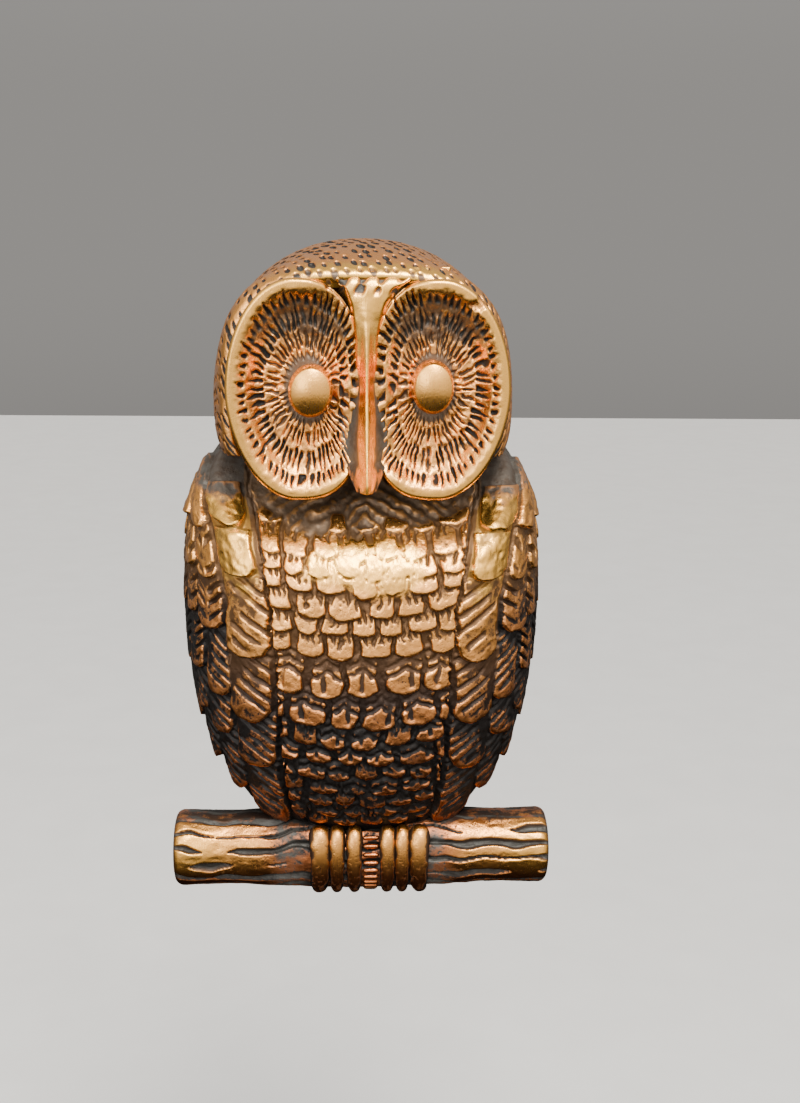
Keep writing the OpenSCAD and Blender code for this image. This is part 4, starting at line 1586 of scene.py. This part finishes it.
    def eye(self, disc: Disc, finish: bpy.types.Material) -> None:
        """Makes one domed eye with a flat brushed face and a rolled edge."""
        angle = np.linspace(0.0, TAU, 96, endpoint=False)
        share = np.concatenate([np.linspace(0.03, 0.82, 18), np.linspace(0.84, 1.0, 14), [1.0, 1.0]])
        lift = 42.6 - 1.9 * share**2 - 2.2 * np.clip((share - 0.84) / 0.16, 0.0, 1.0) ** 2.2
        lift[-2], lift[-1] = 36.5, 33.5
        ss, aa = np.meshgrid(share, angle, indexing="ij")
        wobble = 1.0 + 0.03 * np.cos(2.0 * aa + disc.seed)
        x = disc.eye[0] + disc.eye_size[0] * ss * wobble * np.cos(aa)
        z = disc.eye[1] + disc.eye_size[1] * ss * wobble * np.sin(aa)
        points = np.stack([x, np.broadcast_to(-lift[:, None], x.shape), z], axis=-1)
        edge = smooth(0.97, 1.0, ss)
        # Painted shadow: the rolled edge of the eye is made darker along its lower side.
        wear_and_shade = np.clip(1.0 - 0.6 * edge * smooth(0.4, -0.6, np.sin(aa)), 0.0, 1.0)
        coat = Coat(wear_and_shade, 0.62 - 0.4 * edge, np.zeros_like(wear_and_shade))
        self.declared(capped("left_eye" if disc.side < 0 else "right_eye", points, coat), finish)

    def brow_and_beak(self, finish: bpy.types.Material) -> None:
        """Makes the flat brow between the discs and the beak that runs down from it."""
        count = round(60.0 / self.step)
        z = np.linspace(BROW_LEVELS[0].z, BROW_LEVELS[-1].z, count)
        wide = np.linspace(-1.0, 1.0, 81)
        kernel = np.ones(9) / 9.0
        heights, *columns = zip(*(astuple(level) for level in reversed(BROW_LEVELS)))
        curves = (np.interp(z, heights, column) for column in columns)
        edge_l, edge_r, top, sharp = (
            np.convolve(np.pad(curve, 4, mode="edge"), kernel, "valid") for curve in curves
        )
        base = np.interp(z, (7.4, 10.0, 14.0, 30.0, 40.0, 61.0), (45.5, 42.0, 36.4, 35.2, 36.4, 32.0))
        rings = []
        for k in range(count):
            middle = 0.5
            half = np.where(wide < 0.0, middle - edge_l[k], edge_r[k] - middle)
            x = middle + half * wide
            spine = (1.0 / (1.0 + (wide / 0.42) ** 2) - 0.15) / 0.85
            flat = 1.0 - smooth(0.52, 1.0, np.abs(wide))
            shape = mix(flat, spine, sharp[k])
            y = base[k] + (top[k] - base[k]) * shape
            front = np.stack([x, -y, np.full_like(x, z[k])], axis=1)
            rear_y = max(30.5, base[k] - 4.5)
            back_x = x[::-8][1:-1]
            back = np.stack([back_x, np.full_like(back_x, -rear_y), np.full_like(back_x, z[k])], axis=1)
            rings.append(np.concatenate([front, back]))
        rings = np.stack(rings)
        zz = rings[..., 2]
        marks = pits(rings[..., 0], zz * 1.15, 5.0, 2.5, 0.30, (4.5, 5.0), 37) * smooth(53.5, 55.5, zz)
        marks[:, 81:] = 0.0
        rings[..., 1] += 0.95 * marks + 0.10 * Noise(72).fractal(rings[..., 0], zz, 2.4, 3)
        u = np.zeros(rings.shape[:2])
        u[:, :81] = wide
        u[:, 81:] = 1.0
        ridge = np.exp(-((u / mix(0.36, 0.50, smooth(14.0, 10.5, zz))) ** 4))
        lower = smooth(40.0, 30.0, zz)
        streak = Noise(71).fractal(rings[..., 0] * 3.0, zz / 5.0, 1.4, 2)
        wear_and_shade = np.clip(mix(1.0, 0.12 + 1.0 * ridge, lower) + 0.25 * streak * lower, 0.0, 1.0)
        tip = smooth(14.0, 10.5, zz)
        wear_and_shade = np.clip(wear_and_shade * (1.0 - 0.5 * smooth(0.9, 1.0, np.abs(u)) * lower) + 0.35 * tip, 0.0, 1.0)
        wear_and_shade = wear_and_shade * (1.0 - 0.9 * marks)
        polish_and_highlight = np.clip(mix(0.9, 1.1 * ridge, lower) - marks, 0.0, 1.0)
        raw = np.clip(np.maximum(lower * (1.0 - 1.2 * ridge) * (1.0 - 0.7 * tip), 0.8 * marks), 0.0, 1.0)
        self.declared(capped("brow_and_beak", rings, Coat(wear_and_shade, polish_and_highlight, raw)), finish)

    def inner_bosses(self, finish: bpy.types.Material) -> None:
        """Makes the three bosses that the stud and the screws are driven into."""
        bosses = (
            ("left_boss", -18.0, 42.0, 4.8),
            ("right_boss", 18.0, 42.0, 4.8),
            ("stud_boss", 0.0, 50.0, 7.0),
        )
        for name, x, z, radius in bosses:
            profile = ((radius, 3.0), (radius, 30.0), (radius + 0.6, 33.0))
            self.declared(turned(name, profile, Vector((x, 0.0, z)), 0.3), finish)

    def build(self, finish: bpy.types.Material) -> None:
        """Makes the whole head."""
        self.crown(finish)
        for disc in DISCS:
            self.disc(disc, finish)
            self.eye(disc, finish)
        self.brow_and_beak(finish)
        self.inner_bosses(finish)


# ---------------------------------------------------------------- hardware


@dataclass(frozen=True)
class Stud:
    """A threaded fixing stud.

    Attributes:
        node: Name of the CAD node it stands for.
        z: Height of its axis.
        radius: Radius over the thread.
        length: Length behind the door side of the plate.
        grip: Length in front of it.
        pitch: Spacing of the turns.
    """

    node: str
    z: float
    radius: float = 3.0
    length: float = 45.0
    grip: float = 13.0
    pitch: float = 1.0

    def thread_ring(self) -> bpy.types.Object:
        """One turn of the thread as a source mesh."""
        angle = np.linspace(0.0, TAU, 48, endpoint=False)
        profile = ((2.30, -0.5), (2.52, -0.42), (2.97, -0.06), (2.97, 0.06), (2.52, 0.42), (2.30, 0.5))
        rings = [
            np.stack([r * np.cos(angle), np.full_like(angle, y), r * np.sin(angle)], axis=-1)
            for r, y in profile
        ]
        return capped("thread_source", np.stack(rings), None, False)

    def build(self, finish: bpy.types.Material) -> None:
        """Makes the core and its thread."""
        core_profile = ((2.2, -self.length), (2.45, -self.length + 0.5), (2.45, self.grip - 0.3))
        core = turned(f"{self.node}_core", core_profile, Vector((0.0, 0.0, self.z)), 0.1)
        dress(core, finish)
        declare(core, "fixed_head", "fixing_steel", self.node)
        turns = int((self.length - 1.6) / self.pitch)
        lean = math.atan(self.pitch / (TAU * self.radius))
        spots = [
            (Vector((0.0, 0.2 + k * self.pitch, self.z)), Vector((lean, 0.0, 0.0)), Vector((1.0, 1.0, 1.0)))
            for k in range(turns)
        ]
        thread = Repeat(f"{self.node}_thread", self.thread_ring(), finish).bake(spots)
        declare(thread, "fixed_head", "fixing_steel", self.node)


class Hardware:
    """The plate, hinge parts, strike button and fixings."""

    finishes = {
        "back_plate": WorkedMetal(
            "rolled_brass", (0.62, 0.42, 0.18, 1), (0.16, 0.09, 0.04, 1), Lay.ALONG_Z, 0.34
        ),
        "hinge_pin": WorkedMetal(
            "ground_steel", (0.62, 0.62, 0.61, 1), (0.30, 0.29, 0.28, 1), Lay.TURNED, 0.20
        ),
        "hinge_bushes": WorkedMetal(
            "bush_bronze", (0.60, 0.38, 0.20, 1), (0.28, 0.15, 0.07, 1), Lay.TURNED, 0.30
        ),
        "thrust_washers": WorkedMetal(
            "washer_steel", (0.58, 0.58, 0.57, 1), (0.33, 0.32, 0.31, 1), Lay.NONE, 0.28
        ),
        "pin_clip": WorkedMetal(
            "spring_steel", (0.10, 0.10, 0.11, 1), (0.05, 0.05, 0.055, 1), Lay.NONE, 0.36
        ),
        "head_screws": WorkedMetal(
            "screw_steel", (0.55, 0.53, 0.48, 1), (0.30, 0.28, 0.22, 1), Lay.NONE, 0.30
        ),
        "strike_button": WorkedMetal(
            "button_brass", (0.72, 0.50, 0.22, 1), (0.30, 0.18, 0.08, 1), Lay.NONE, 0.26
        ),
    }
    zinc = WorkedMetal("zinc_plate", (0.56, 0.55, 0.50, 1), (0.34, 0.32, 0.27, 1), Lay.NONE, 0.32)

    def build(self) -> None:
        """Gives the CAD nodes their finishes and makes the threaded studs."""
        for node, finish in self.finishes.items():
            dress(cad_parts[node], finish.make())
            LOG.info("%s dressed as %s", node, finish.name)
        plated = self.zinc.make()
        for stud in (Stud("upper_stud", 50.0), Stud("lower_stud", -50.0)):
            stud.build(plated)


# ---------------------------------------------------------------- studio


@dataclass(frozen=True)
class Studio:
    """Camera, lights, floor and sky round the knocker.

    Attributes:
        eye: Position of the camera in metres.
        pitch: Tilt of the camera below the horizon, in degrees.
        yaw: Turn of the camera to its right, in degrees.
        roll: Roll of the camera, in degrees.
        lens: Focal length in millimetres on a 36 mm sensor side.
        floor_z: Height of the floor.
    """

    eye: tuple[float, float, float] = (-0.006, -0.366, 0.062)
    pitch: float = 12.2
    yaw: float = 2.63
    roll: float = 0.6
    lens: float = 43.64
    floor_z: float = -0.32

    def camera(self) -> None:
        """Makes the camera and sets it as the scene's."""
        made = bpy.data.cameras.new("camera")
        made.lens = self.lens
        made.sensor_width = 36.0
        made.sensor_fit = "AUTO"
        made.clip_start = 0.01
        holder = bpy.data.objects.new("camera", made)
        p, y, r = (math.radians(v) for v in (self.pitch, self.yaw, self.roll))
        ahead = Vector((math.sin(y) * math.cos(p), math.cos(y) * math.cos(p), -math.sin(p)))
        right = Vector((math.cos(y), -math.sin(y), 0.0))
        up = right.cross(ahead)
        right_rolled = right * math.cos(r) + up * math.sin(r)
        up_rolled = up * math.cos(r) - right * math.sin(r)
        turn = Matrix((right_rolled, up_rolled, -ahead)).transposed()
        holder.matrix_world = Matrix.Translation(self.eye) @ turn.to_4x4()
        bpy.context.scene.collection.objects.link(holder)
        bpy.context.scene.camera = holder

    def light(
        self, name: str, spot: Vector, size: float, power: float, colour: tuple[float, float, float]
    ) -> None:
        """Makes one soft square light aimed at the knocker."""
        made = bpy.data.lights.new(name, "AREA")
        made.size = size
        made.energy = power
        made.color = colour
        holder = bpy.data.objects.new(name, made)
        aim = Vector((0.0, -0.02, -0.02)) - spot
        holder.matrix_world = Matrix.Translation(spot) @ aim.to_track_quat("-Z", "Y").to_matrix().to_4x4()
        bpy.context.scene.collection.objects.link(holder)

    def world(self) -> None:
        """Sets a plain soft sky, paler above than below."""
        sky = bpy.data.worlds.new("sky")
        sky.use_nodes = True
        tree = sky.node_tree
        where = tree.nodes.new("ShaderNodeTexCoord")
        split = tree.nodes.new("ShaderNodeSeparateXYZ")
        tree.links.new(where.outputs["Generated"], split.inputs[0])
        factors = []
        ramps = (("Z", -0.52, 0.0, 0.04, 1.0), ("Z", 0.10, 0.65, 1.0, 2.3), ("Y", 0.30, -0.80, 0.30, 1.36))
        for axis, low, high, dark, bright in ramps:
            shade = tree.nodes.new("ShaderNodeMapRange")
            shade.interpolation_type = "SMOOTHSTEP"
            for title, value in (("From Min", low), ("From Max", high), ("To Min", dark), ("To Max", bright)):
                shade.inputs[title].default_value = value
            tree.links.new(split.outputs[axis], shade.inputs["Value"])
            factors.append(shade.outputs[0])
        strength = factors[0]
        for factor in factors[1:]:
            product = tree.nodes.new("ShaderNodeMath")
            product.operation = "MULTIPLY"
            tree.links.new(strength, product.inputs[0])
            tree.links.new(factor, product.inputs[1])
            strength = product.outputs[0]
        ground = tree.nodes["Background"]
        ground.inputs["Color"].default_value = (1.0, 0.96, 0.91, 1.0)
        tree.links.new(strength, ground.inputs["Strength"])
        bpy.context.scene.world = sky

    def floor(self) -> None:
        """Makes the plain floor below the knocker."""
        mesh = bpy.data.meshes.new("floor")
        corners = [(-3.0, -3.0), (3.0, -3.0), (3.0, 3.0), (-3.0, 3.0)]
        mesh.from_pydata([(x, y, self.floor_z) for x, y in corners], [], [(0, 1, 2, 3)])
        made = bpy.data.objects.new("floor", mesh)
        bpy.context.scene.collection.objects.link(made)
        made.visible_glossy = False
        dress(made, StudioFloor().make())

    def build(self) -> None:
        """Sets up the whole studio."""
        self.camera()
        self.world()
        self.floor()
        self.light("key", Vector((0.12, -0.52, 0.78)), 0.34, 12.0, (1.0, 0.96, 0.88))
        self.light("fill", Vector((-0.45, -0.75, 0.30)), 0.5, 3.0, (0.92, 0.96, 1.0))


def main() -> None:
    """Builds the whole scene."""
    logging.basicConfig(level=logging.INFO, format="%(name)s %(message)s")
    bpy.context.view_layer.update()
    step = 0.32
    brass = AntiqueBrass("antique_brass").make()
    knocker = SwingingBody(BodyForm(), step)
    knocker.build(brass)
    knocker.perch(brass)
    knocker.feet(brass)
    knocker.hinge_barrel(brass)
    FixedHead(HeadForm(), step).build(brass)
    Hardware().build()
    Studio().build()


if __name__ == "__main__":
    main()
